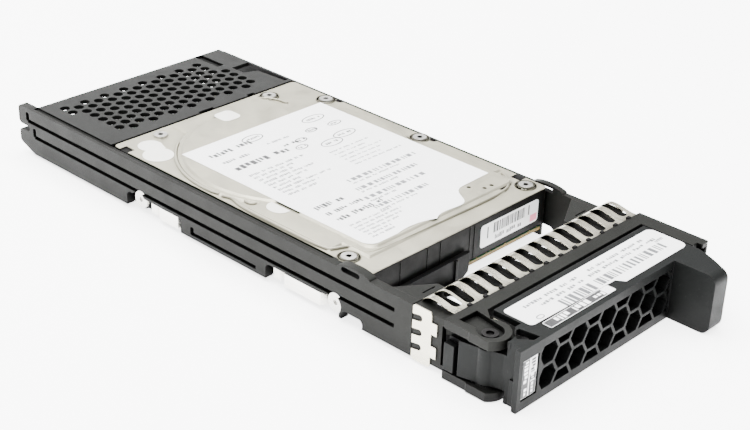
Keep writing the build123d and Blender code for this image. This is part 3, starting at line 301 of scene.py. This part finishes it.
tray_black = moulded_plastic("tray_black", (0.0092, 0.0095, 0.0085), 0.42)
lever_black = moulded_plastic("lever_black", (0.0060, 0.0066, 0.0064), 0.42)
panel_black = moulded_plastic("panel_black", (0.0035, 0.0035, 0.0035), 0.50)
vent_grey = moulded_plastic("vent_grey", (0.0115, 0.0118, 0.0112), 0.40, grain=0.00002, wear_and_highlight=0.7)
pin_black = moulded_plastic("pin_black", (0.008, 0.0075, 0.0075), 0.40)
connector_black = moulded_plastic("connector_black", (0.005, 0.005, 0.005), 0.42)
chip_black = moulded_plastic("chip_black", (0.005, 0.005, 0.0055), 0.38, grain=0.00001)
strip_metal = brushed_metal("strip_metal", (0.62, 0.59, 0.48), 0.26, (1, 0.08, 1))
leaf_metal = brushed_metal("leaf_metal", (0.80, 0.79, 0.74), 0.20, (1, 0.1, 1))
screw_metal = brushed_metal("screw_metal", (0.62, 0.61, 0.58), 0.30)
cover_metal = brushed_metal("cover_metal", (0.43, 0.41, 0.325), 0.42, (1, 0.25, 1), edge=0.15, crease_shade_reach=2.2)
casting_black = cast_metal("casting_black", (0.0050, 0.0050, 0.0047), 0.42)
machined = brushed_metal("machined", (0.70, 0.70, 0.71), 0.28)
nickel = brushed_metal("nickel", (0.66, 0.65, 0.62), 0.22)
clip_black = moulded_plastic("clip_black", (0.004, 0.004, 0.004), 0.45)
# painted shade: dark steel standing for the shade inside the screw recesses
recess_shade_steel = brushed_metal("recess_shade_steel", (0.16, 0.155, 0.145), 0.45)
gold = brushed_metal("gold", (0.83, 0.62, 0.28), 0.24)
tin = brushed_metal("tin", (0.80, 0.80, 0.78), 0.32)
copper = brushed_metal("copper", (0.80, 0.42, 0.24), 0.30, (1, 1, 0.1))
disc_shine = mirror_disc("disc_shine", (0.82, 0.82, 0.83))
label_white = printed_paper("label_white", (0.90, 0.90, 0.90))
seal_pale = printed_paper("seal_pale", (0.74, 0.73, 0.68), 0.34)
ramp_cream = moulded_plastic("ramp_cream", (0.62, 0.59, 0.50), 0.4, grain=0.00001, wear_and_highlight=0.1)
gasket_dark = moulded_plastic("gasket_dark", (0.004, 0.004, 0.004), 0.8, wear_and_highlight=0.0)
filter_white = printed_paper("filter_white", (0.70, 0.70, 0.69), 0.8)
film_amber = printed_paper("film_amber", (0.42, 0.19, 0.04), 0.3)
board_green = solder_resist("board_green", (0.014, 0.055, 0.026))
passive_tan = moulded_plastic("passive_tan", (0.20, 0.13, 0.07), 0.5, grain=0.00001, wear_and_highlight=0.1)
ink_faint = ink("ink_faint", (0.10, 0.105, 0.11))
ink_mid = ink("ink_mid", (0.07, 0.073, 0.078))
ink_grey = ink("ink_grey", (0.014, 0.0145, 0.016))
ink_dark = ink("ink_dark", (0.008, 0.008, 0.009))
ink_pink = ink("ink_pink", (0.70, 0.22, 0.30))

node_materials = {
    tray_black: ["tray_left_rail", "tray_right_rail", "front_frame"],
    panel_black: ["front_cross_panel"],
    lever_black: ["ejector_lever"],
    vent_grey: ["rear_vent_plate"],
    pin_black: ["lever_pin"],
    connector_black: ["sas_connector", "drive_socket", "backplane_plug"],
    chip_black: ["board_chips", "interposer_chips"],
    strip_metal: ["emi_strip_top", "emi_strip_bottom", "emi_strip_left", "emi_strip_right"],
    leaf_metal: ["left_ground_springs", "right_ground_springs", "head_suspensions"],
    screw_metal: ["carrier_screws", "cover_screws", "board_screws", "interposer_screws",
                  "clamp_screws", "spindle_motor", "pivot_post", "yoke_post", "pivot_bearings"],
    cover_metal: ["drive_cover"],
    casting_black: ["drive_base"],
    machined: ["spindle_hub", "platter_spacers", "disc_clamp", "actuator_arm", "flex_bracket"],
    nickel: ["lower_yoke", "upper_yoke", "yoke_magnets"],
    copper: ["voice_coil"],
    disc_shine: ["platter_bottom", "platter_middle", "platter_top"],
    label_white: ["cover_label", "lever_label", "lever_code_strip", "front_sticker", "bezel_label"],
    seal_pale: ["cover_seals"],
    ramp_cream: ["load_ramp"],
    gasket_dark: ["cover_gasket", "crash_stops"],
    filter_white: ["recirculation_filter"],
    film_amber: ["flex_circuit"],
    board_green: ["circuit_board", "interposer_board"],
}
for made, names in node_materials.items():
    for name in names:
        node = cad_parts[name]
        node.data.materials.clear()
        node.data.materials.append(made)


# ================================================================ printed marks
class Print:
    """Ink marks on a flat label. Positions are in millimetres across and up the label."""

    def __init__(self, name, origin, across, up, seed):
        self.name = name
        self.origin = origin
        self.across = across
        self.up = up
        self.shape = bmesh.new()
        self.random = random.Random(seed)

    def bar(self, left, right, low, high):
        """A filled rectangle."""
        corners = ((left, low), (right, low), (right, high), (left, high))
        places = [self.origin + self.across * (u * MM) + self.up * (v * MM) for u, v in corners]
        self.shape.faces.new([self.shape.verts.new(place) for place in places])

    def row(self, left, right, low, height, stroke=0.3, ragged=0.0):
        """A line of generic marks: groups of short strokes with gaps, not letters."""
        end = right - ragged * self.random.random() * (right - left)
        at = left
        while at < end:
            for _ in range(self.random.randint(2, 7)):
                if at > end:
                    break
                width = stroke * self.random.uniform(0.7, 1.8)
                drop = self.random.choice((0, 0, 0.25)) * height
                rise = self.random.choice((0, 0, 0.25)) * height
                self.bar(at, at + width, low + drop, low + height - rise)
                at += width + stroke * 0.6
            at += stroke * 2.4

    def barcode(self, left, right, low, high, stroke=0.25):
        """Upright bars of uneven width."""
        at = left
        while at < right - 3 * stroke:
            width = stroke * self.random.choice((1, 1, 2, 3))
            self.bar(at, at + width, low, high)
            at += width + stroke * self.random.choice((1, 1, 2))

    def ring(self, centre, width, height, line=0.25, sides=36):
        """An ellipse drawn as a line."""
        loops = []
        for shrink in (0, line):
            loop = []
            for side in range(sides):
                angle = 2 * pi * side / sides
                u = centre[0] + (width / 2 - shrink) * cos(angle)
                v = centre[1] + (height / 2 - shrink) * sin(angle)
                loop.append(self.shape.verts.new(self.origin + self.across * (u * MM) + self.up * (v * MM)))
            loops.append(loop)
        outer, inner = loops
        for side in range(sides):
            after = (side + 1) % sides
            self.shape.faces.new((outer[side], outer[after], inner[after], inner[side]))

    def finish(self, body, made, slot_name="label_paper"):
        """Makes the piece from the marks laid so far."""
        mesh = bpy.data.meshes.new(self.name)
        self.shape.to_mesh(mesh)
        self.shape.free()
        mesh.materials.append(made)
        piece = bpy.data.objects.new(self.name, mesh)
        bpy.context.collection.objects.link(piece)
        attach(piece, body)
        return piece


RIGHT = Vector((1, 0, 0))
BACK = Vector((0, 1, 0))
UP = Vector((0, 0, 1))
LIFT = 0.02 * MM

SCREW_HEAD = 0.5
cover_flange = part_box("cover_screws")[1].z / MM - SCREW_HEAD
cover_origin = Vector((label_low.x, label_low.y, label_high.z + LIFT))
label_depth = (label_high.y - label_low.y) / MM


def cover_label_print():
    """The cover label: a heading, approval rings, rows of small marks and bar codes."""
    heading = Print("cover_label_heading", cover_origin, RIGHT, BACK, 3)
    top = label_depth - 8
    heading.row(4.5, 19, top, 2.2, 0.8)
    heading.row(4.5, 24, top - 10.5, 2.4, 0.9)
    heading.row(24.5, 30, top - 8.0, 1.4, 0.5)
    heading.row(4.0, 13.5, 24.0, 2.0, 0.6)
    heading.row(4.0, 17.0, 20.0, 1.6, 0.5)
    heading.row(4.0, 21.0, 16.0, 2.0, 0.6)
    heading.finish("carrier", ink_grey)
    marks = Print("cover_label_rings", cover_origin, RIGHT, BACK, 5)
    for u, v, width, height in ((21.5, top + 2.6, 7.5, 4.0), (44, top + 1.0, 8.5, 4.0),
                                (38, top - 4.5, 4.4, 2.6), (43.5, top - 12.5, 8.5, 4.0),
                                (36.5, top - 14.5, 8, 4.2), (31, top - 7.5, 4.4, 2.6),
                                (46.5, top - 5.4, 5.2, 2.6), (28, top - 11, 4.4, 2.8)):
        marks.ring((u, v), width, height, 0.35)
        marks.row(u - width * 0.3, u + width * 0.3, v - 0.5, 1.0, 0.4)
    marks.finish("carrier", ink_grey)
    text = Print("cover_label_rows", cover_origin, RIGHT, BACK, 11)
    for line in range(9):
        text.row(4.5, 4.5 + 23 - line % 3 * 5, top - 15.5 - line * 1.9, 1.0, 0.34, 0.3)
    for line in range(6):
        text.row(31, 50, top - 19.5 - line * 2.0, 0.7, 0.26, 0.4)
    text.row(4.5, 14, top - 5.0, 1.3, 0.5)
    text.row(22, 30, top - 3.6, 0.9, 0.3)
    for line in range(4):
        text.barcode(22 - line * 2, 50 - line * 4, 30.0 - line * 5.2, 31.6 - line * 5.2, 0.5)
        text.row(22 - line * 2, 44 - line * 4, 28.4 - line * 5.2, 0.8, 0.3, 0.5)
    for line in range(6):
        text.row(4.0, 24 - line * 2.0, 12.0 - line * 1.6, 0.8, 0.26, 0.3)
    text.finish("carrier", ink_faint)


def lever_label_print():
    """The lever's top label: rows of small marks over one long bar code."""
    origin = Vector((lever_label_low.x, lever_label_low.y, lever_label_high.z + LIFT))
    faint = Print("lever_label_rows", origin, RIGHT, BACK, 21)
    faint.row(5, 27, 8.9, 1.0, 0.5, 0.1)
    faint.row(30, 53, 9.1, 0.9, 0.45, 0.1)
    faint.row(9, 26, 6.9, 1.0, 0.5, 0.1)
    faint.row(28, 56, 7.2, 1.0, 0.5, 0.1)
    faint.ring((4.6, 4.2), 2.6, 1.6, 0.3)
    faint.row(54.5, 57.4, 6.2, 0.9, 0.4)
    faint.finish("lever", ink_faint)
    code = Print("lever_label_code", origin, RIGHT, BACK, 23)
    code.barcode(13, 25.5, 2.6, 5.9, 0.42)
    code.barcode(27, 56, 2.9, 5.8, 0.42)
    code.finish("lever", ink_mid)
    strip_origin = Vector((strip_low.x, strip_low.y, strip_high.z + LIFT))
    strip_width = (strip_high.x - strip_low.x) / MM
    strip_depth = (strip_high.y - strip_low.y) / MM
    ground = Print("lever_strip_ground", strip_origin, RIGHT, BACK, 28)
    ground.bar(0.15, strip_width - 3.2, 0.15, strip_depth - 0.15)
    ground.finish("lever", ink_dark)
    block = Print("lever_strip_marks", strip_origin + LIFT * UP, RIGHT, BACK, 29)
    block.row(3.4, strip_width - 4.0, 0.5, strip_depth - 1.0, 0.72)
    block.finish("lever", label_white)


def bezel_label_print():
    """The label at the left end of the bezel: two columns of code marks."""
    origin = Vector((bezel_low.x, bezel_low.y - LIFT, bezel_low.z))
    width = (bezel_high.x - bezel_low.x) / MM
    height = (bezel_high.z - bezel_low.z) / MM
    ground = Print("bezel_label_ground", origin, RIGHT, UP, 31)
    ground.bar(0.1, width * 0.46, 0.1, height - 0.1)
    ground.bar(width * 0.54, width - 0.1, 0.1, height * 0.55)
    ground.finish("lever", ink_grey)
    front = Vector((bezel_low.x, bezel_low.y - 2 * LIFT, bezel_low.z))
    code = Print("bezel_label_marks", front, UP, RIGHT, 37)
    code.row(0.5, height - 0.6, 0.6, 1.4, 0.5)
    code.row(0.5, height * 0.52, width * 0.6, 1.6, 0.5)
    code.finish("lever", label_white)
    dark = Print("bezel_label_code", front, UP, RIGHT, 39)
    dark.row(height * 0.6, height - 0.5, width * 0.6, 1.5, 0.4)
    dark.finish("lever", ink_dark)


def front_sticker_print():
    """The sticker on the drive's front: a bar code, a row of marks and a coloured corner."""
    origin = Vector((sticker_low.x, sticker_low.y - LIFT, sticker_low.z))
    width = (sticker_high.x - sticker_low.x) / MM
    code = Print("front_sticker_code", origin, RIGHT, UP, 41)
    code.barcode(5.2, width - 5.2, 3.0, 6.0, 0.22)
    code.bar(2.6, 3.1, 2.2, 5.6)
    code.bar(width - 4.4, width - 3.9, 3.0, 6.0)
    code.row(6, width - 7, 0.9, 1.3, 0.4)
    code.finish("carrier", ink_grey)
    corner = Print("front_sticker_corner", origin, RIGHT, UP, 43)
    corner.bar(width - 3.4, width - 0.5, 0.5, 2.6)
    corner.finish("carrier", ink_pink)


cover_label_print()
lever_label_print()
bezel_label_print()
front_sticker_print()


# ================================================================ small parts
class Small:
    """Many small solids gathered into one piece. Positions are in millimetres."""

    def __init__(self, name):
        self.name = name
        self.shape = bmesh.new()

    def prism(self, outline, low, high):
        """An outline in X and Y, raised between two heights."""
        bottom = [self.shape.verts.new(mm(x, y, low)) for x, y in outline]
        top = [self.shape.verts.new(mm(x, y, high)) for x, y in outline]
        self.shape.faces.new(bottom[::-1])
        self.shape.faces.new(top)
        for side in range(len(outline)):
            after = (side + 1) % len(outline)
            self.shape.faces.new((bottom[side], bottom[after], top[after], top[side]))

    def block(self, centre, size, low, high):
        """A block with its upright edges cut at 45 degrees."""
        (x, y), (width, depth) = centre, size
        cut = 0.12 * min(width, depth)
        half_x, half_y = width / 2, depth / 2
        outline = [(x - half_x + cut, y - half_y), (x + half_x - cut, y - half_y),
                   (x + half_x, y - half_y + cut), (x + half_x, y + half_y - cut),
                   (x + half_x - cut, y + half_y), (x - half_x + cut, y + half_y),
                   (x - half_x, y + half_y - cut), (x - half_x, y - half_y + cut)]
        self.prism(outline, low, high)

    def star(self, centre, radius, low, high, points=6):
        """A disc with a lobed edge, as a driver recess has."""
        outline = []
        for step in range(4 * points):
            angle = 2 * pi * step / (4 * points)
            reach = radius * (0.86 + 0.14 * cos(points * angle))
            outline.append((centre[0] + reach * cos(angle), centre[1] + reach * sin(angle)))
        self.prism(outline, low, high)

    def bend(self, x, width, line, thick):
        """A strip of sheet bent along a line in Y and Z."""
        runs = [Vector((ahead[0] - here[0], ahead[1] - here[1])) for here, ahead in zip(line, line[1:])]
        rings = []
        for (y, z), run in zip(line, runs + runs[-1:]):
            lift = Vector((-run.y, run.x)).normalized() * thick
            rings.append([self.shape.verts.new(mm(x + side, y + push.x, z + push.y))
                          for side, push in ((-width / 2, Vector((0, 0))), (width / 2, Vector((0, 0))),
                                             (width / 2, lift), (-width / 2, lift))])
        for near, far in zip(rings, rings[1:]):
            for side in range(4):
                after = (side + 1) % 4
                self.shape.faces.new((near[side], near[after], far[after], far[side]))
        self.shape.faces.new(rings[0][::-1])
        self.shape.faces.new(rings[-1])

    def bead(self, line, width, low, height, closed=False):
        """A raised bead of half-round section along a line in X and Y, open or closed."""
        section = [(-0.5, -0.1), (-0.42, 0.45), (-0.2, 0.9), (0.2, 0.9), (0.42, 0.45), (0.5, -0.1)]
        rings = []
        for index, (x, y) in enumerate(line):
            before, after = line[max(index - 1, 0)], line[min(index + 1, len(line) - 1)]
            if closed:
                before, after = line[index - 1], line[(index + 1) % len(line)]
            run = Vector((after[0] - before[0], after[1] - before[1])).normalized()
            side = Vector((-run.y, run.x)) * width
            rings.append([self.shape.verts.new(mm(x + side.x * u, y + side.y * u, low + height * v))
                          for u, v in section])
        for near, far in zip(rings, rings[1:] + rings[:1] if closed else rings[1:]):
            for step in range(len(section)):
                after = (step + 1) % len(section)
                self.shape.faces.new((near[step], near[after], far[after], far[step]))
        if not closed:
            self.shape.faces.new(rings[0][::-1])
            self.shape.faces.new(rings[-1])

    def finish(self, body, made, slot_name):
        """Makes the piece from the solids laid so far."""
        mesh = bpy.data.meshes.new(self.name)
        bmesh.ops.recalc_face_normals(self.shape, faces=self.shape.faces)
        self.shape.to_mesh(mesh)
        self.shape.free()
        mesh.materials.append(made)
        piece = bpy.data.objects.new(self.name, mesh)
        bpy.context.collection.objects.link(piece)
        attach(piece, body)
        return piece


def islands(name):
    """Low and high corners of each loose patch of a CAD node's mesh, in millimetres, in a set order.
    The mesh is not joined across the edges of its faces, so a solid gives a patch for each face."""
    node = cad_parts[name]
    shape = bmesh.new()
    shape.from_mesh(node.data)
    left = set(shape.verts)
    found = []
    while left:
        start = left.pop()
        group, edge = [start], [start]
        while edge:
            vertex = edge.pop()
            for link in vertex.link_edges:
                other = link.other_vert(vertex)
                if other in left:
                    left.discard(other)
                    group.append(other)
                    edge.append(other)
        places = [node.matrix_world @ vertex.co / MM for vertex in group]
        low = Vector([min(place[axis] for place in places) for axis in range(3)])
        high = Vector([max(place[axis] for place in places) for axis in range(3)])
        found.append((low, high))
    shape.free()
    return sorted(found, key=lambda extent: (*extent[0], *extent[1]))


def screw_recesses():
    """Six-lobed recesses in the heads of the cover screws, laid as thin discs of dark steel whose dark is
    painted shade of the hollow. A screw gives one for each patch of its mesh, and the topmost shows."""
    recess_r = 0.85
    recesses = Small("cover_screw_recesses")
    for low, high in islands("cover_screws"):
        centre = ((low.x + high.x) / 2, (low.y + high.y) / 2)
        recesses.star(centre, recess_r, high.z - 0.15, high.z + 0.01)
    recesses.finish("carrier", recess_shade_steel, "screw_steel")


def rounded(corners, steps=6):
    """The same line with each inner corner cut to a curve through its two half-way points."""
    line = [corners[0]]
    for before, corner, after in zip(corners, corners[1:], corners[2:]):
        start = ((before[0] + corner[0]) / 2, (before[1] + corner[1]) / 2)
        end = ((corner[0] + after[0]) / 2, (corner[1] + after[1]) / 2)
        for step in range(steps + 1):
            t = step / steps
            line.append(tuple((1 - t) ** 2 * start[axis] + 2 * t * (1 - t) * corner[axis] + t * t * end[axis]
                              for axis in (0, 1)))
    line.append(corners[-1])
    return line


def cover_beads():
    """Pressed beads in the cover: round the discs, down the left side and along the front, across
    the rear, and rings round the screws, one on another for each patch of a screw's mesh."""
    spindle_y = 20.9
    dome_r = 34.0
    ring_r = 2.7
    round_discs = [(dome_r * cos(radians(angle)), spindle_y + dome_r * sin(radians(angle)))
                   for angle in range(128, 188, 4)]
    hook = [(-33.4, 16.4), (-30.2, 14.8), (-29.4, 10.6), (-31.6, 7.6), (-30.4, 5.2), (-26.4, 5.6)]
    left_and_front = [(-33.6, 14.6), (-32.4, 11.4), (-34.3, 6.8), (-34.3, -10.0), (-34.3, -25.2),
                      (-31.6, -26.6), (-28.0, -28.0), (-28.6, -33.2), (-24.0, -34.6), (0.0, -34.9),
                      (23.0, -35.3), (28.6, -33.0), (32.2, -27.4)]
    across_rear = [(21.5, 47.6), (21.0, 53.4), (16.4, 57.2), (-14.0, 57.2)]
    beads = Small("cover_beads")
    beads.bead(round_discs + rounded(hook), 1.0, cover_flange, 0.62)
    beads.bead(rounded(left_and_front), 0.9, cover_flange, 0.72)
    beads.bead(rounded(across_rear), 0.8, cover_flange, 0.6)
    for low, high in islands("cover_screws"):
        x, y = (low.x + high.x) / 2, (low.y + high.y) / 2
        # the rear left screw is flush beside a seal, with no ring
        if x < 0 < y:
            continue
        circle = [(x + ring_r * cos(radians(angle)), y + ring_r * sin(radians(angle)))
                  for angle in range(0, 360, 15)]
        beads.bead(circle, 0.75, cover_flange, 0.40, closed=True)
    beads.finish("carrier", cover_metal, "cover_metal")


def strip_clips():
    """Plastic clips that hold the front edge of the top spring strip."""
    count, first_x, pitch = 12, -29.6, 5.8
    clips = Small("strip_clips")
    for index in range(count):
        x = first_x + index * pitch
        clips.block((x, spring_strip_low.y / MM + 0.1), (1.3, 0.9), 16.2, 16.75)
    clips.finish("carrier", clip_black, "tray_plastic")


def casting_seams():
    """Fine upright seams and ribs on the drive's front face."""
    seams = Small("casting_seams")
    front = sticker_high.y / MM
    for x in (-24.0, -14.0, -9.0, 2.6, 4.4):
        seams.block((x, front - 0.06), (0.35, 0.16), 4.9, 14.6)
    seams.finish("carrier", casting_black, "casting")


def contact_rows():
    """Gold contacts on the plug's tongue and bent tails from its front face to the board."""
    count, pitch, gaps = 29, 1.23, (7, 15)
    rear = plug_high.y / MM
    front = plug_low.y / MM
    contacts = Small("backplane_contacts")
    tails = Small("backplane_tails")
    for index in range(count):
        x = (index - count // 2) * pitch
        if index in gaps:
            continue
        contacts.bend(x, 0.66, [(rear - 7.0, 7.82), (rear - 1.3, 7.82), (rear - 0.9, 7.6)], 0.05)
        tails.bend(x, 0.5, [(front - 0.02, 9.0), (front - 1.0, 8.9), (front - 1.5, 8.2),
                            (front - 1.6, 5.2), (front - 2.0, 4.66), (front - 3.2, 4.62)], 0.15)
    contacts.finish("carrier", gold, "screw_steel")
    tails.finish("carrier", tin, "screw_steel")


def board_components():
    """Chip resistors, capacitors and test pads on the drive's circuit board, on its underside."""
    scatter = random.Random(61)
    bodies = Small("board_passives")
    ends = Small("board_passive_ends")
    pads = Small("board_test_pads")
    under = board_low.z / MM
    taken = islands("board_chips") + islands("board_screws")
    wanted, placed = 110, 0
    while placed < wanted:
        x = scatter.uniform(-25.5, 25.5)
        y = scatter.uniform(board_low.y / MM + 4, board_high.y / MM - 6)
        if any(low.x - 1.6 < x < high.x + 1.6 and low.y - 1.6 < y < high.y + 1.6 for low, high in taken):
            continue
        taken.append((Vector((x - 0.4, y - 0.4, 0)), Vector((x + 0.4, y + 0.4, 0))))
        placed += 1
        if scatter.random() < 0.3:
            pads.star((x, y), 0.45, under - 0.03, under + 0.01, 8)
        elif scatter.random() < 0.5:
            bodies.block((x, y), (0.9, 0.8), under - 0.5, under)
            ends.block((x - 0.62, y), (0.34, 0.84), under - 0.52, under)
            ends.block((x + 0.62, y), (0.34, 0.84), under - 0.52, under)
        else:
            bodies.block((x, y), (0.8, 0.9), under - 0.5, under)
            ends.block((x, y - 0.62), (0.84, 0.34), under - 0.52, under)
            ends.block((x, y + 0.62), (0.84, 0.34), under - 0.52, under)
    bodies.finish("carrier", passive_tan, "chip_epoxy")
    ends.finish("carrier", tin, "screw_steel")
    pads.finish("carrier", gold, "screw_steel")


def interposer_components():
    """Small parts on top of the interposer board, seen through the vent holes."""
    scatter = random.Random(71)
    bodies = Small("interposer_passives")
    ends = Small("interposer_passive_ends")
    top = inter_high.z / MM
    taken = islands("interposer_chips") + islands("interposer_screws")
    for name in ("drive_socket", "backplane_plug"):
        low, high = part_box(name)
        taken.append((low / MM, high / MM))
    wanted, placed = 46, 0
    while placed < wanted:
        x = scatter.uniform(-31, 31)
        y = scatter.uniform(inter_low.y / MM + 2, inter_high.y / MM - 2)
        if any(low.x - 1.6 < x < high.x + 1.6 and low.y - 3.6 < y < high.y + 1.6 for low, high in taken):
            continue
        taken.append((Vector((x - 0.4, y - 0.4, 0)), Vector((x + 0.4, y + 0.4, 0))))
        placed += 1
        bodies.block((x, y), (1.2, 1.0), top, top + 0.6)
        ends.block((x - 0.8, y), (0.42, 1.04), top, top + 0.62)
        ends.block((x + 0.8, y), (0.42, 1.04), top, top + 0.62)
    bodies.finish("carrier", passive_tan, "chip_epoxy")
    ends.finish("carrier", tin, "screw_steel")


screw_recesses()
cover_beads()
strip_clips()
casting_seams()
contact_rows()
board_components()
interposer_components()


# ================================================================ stage, lights and camera
FLOOR_GLOW = 3.4


def floor():
    """A wide pale floor, swept up behind the object."""
    half_width, front, row_step, sweep_from = 2.4, -1.6, 0.16, 1.2
    shape = bmesh.new()
    rows = []
    for step in range(25):
        along = front + step * row_step
        rise = max(0.0, along - sweep_from) ** 2 * 0.8
        rows.append([shape.verts.new((side, along, rise)) for side in (-half_width, half_width)])
    for near, far in zip(rows, rows[1:]):
        shape.faces.new((near[0], near[1], far[1], far[0]))
    mesh = bpy.data.meshes.new("floor")
    shape.to_mesh(mesh)
    shape.free()
    made = material("floor_pale", (0.93, 0.93, 0.93), 0.8)
    set_colour(made, mix_colour(made, remap(made, noise(made, 6), 0.3, 0.7, 0, 1),
                                (0.92, 0.92, 0.92), (0.94, 0.94, 0.94)))
    shader_of(made).inputs["Emission Color"].default_value = (1, 1, 1, 1)
    shader_of(made).inputs["Emission Strength"].default_value = FLOOR_GLOW
    mesh.materials.append(made)
    piece = bpy.data.objects.new("floor", mesh)
    bpy.context.collection.objects.link(piece)


def softbox(name, place, target, size, power, tint=(1, 1, 1)):
    """A square area light aimed at a point."""
    lamp = bpy.data.lights.new(name, "AREA")
    lamp.shape = "RECTANGLE"
    lamp.size, lamp.size_y = size
    lamp.energy = power
    lamp.color = tint
    light = bpy.data.objects.new(name, lamp)
    light.location = place
    light.rotation_euler = (Vector(target) - Vector(place)).to_track_quat("-Z", "Y").to_euler()
    bpy.context.collection.objects.link(light)


def studio():
    """Soft white light from all round, strongest from above."""
    horizon_light, zenith_light = 0.45, 2.2
    world = bpy.data.worlds.new("studio")
    world.use_nodes = True
    tree = world.node_tree
    background = tree.nodes["Background"]
    coords = tree.nodes.new("ShaderNodeTexCoord")
    split = tree.nodes.new("ShaderNodeSeparateXYZ")
    ramp = tree.nodes.new("ShaderNodeMapRange")
    ramp.inputs["From Min"].default_value = 0.25
    ramp.inputs["From Max"].default_value = 0.9
    ramp.inputs["To Min"].default_value = horizon_light
    ramp.inputs["To Max"].default_value = zenith_light
    tree.links.new(coords.outputs["Generated"], split.inputs[0])
    tree.links.new(split.outputs["Z"], ramp.inputs["Value"])
    tree.links.new(ramp.outputs["Result"], background.inputs["Strength"])
    background.inputs["Color"].default_value = (1, 1, 1, 1)
    bpy.context.scene.world = world
    softbox("top_box", (0.0, 0.15, 0.8), (0, 0, 0), (1.0, 1.0), 44)
    softbox("left_box", (-0.8, -0.35, 0.5), (0, 0, 0), (0.7, 0.7), 4)


def camera():
    """The camera, placed by its station, direction and roll."""
    station = mm(-267.0, -256.1, 197.1)
    azimuth, elevation, roll = radians(-47.3), radians(27.6), radians(2.02)
    level = Vector((cos(azimuth), sin(azimuth), 0))
    behind = Vector((sin(azimuth) * cos(elevation), -cos(azimuth) * cos(elevation), sin(elevation)))
    upright = behind.cross(level)
    across = level * cos(roll) + upright * sin(roll)
    above = upright * cos(roll) - level * sin(roll)
    data = bpy.data.cameras.new("camera")
    data.sensor_width = 36
    data.lens = 72.3
    data.clip_start = 0.01
    made = bpy.data.objects.new("camera", data)
    turn = Matrix((across, above, behind)).transposed().to_4x4()
    made.matrix_world = Matrix.Translation(station) @ turn
    bpy.context.collection.objects.link(made)
    bpy.context.scene.camera = made


floor()
studio()
camera()
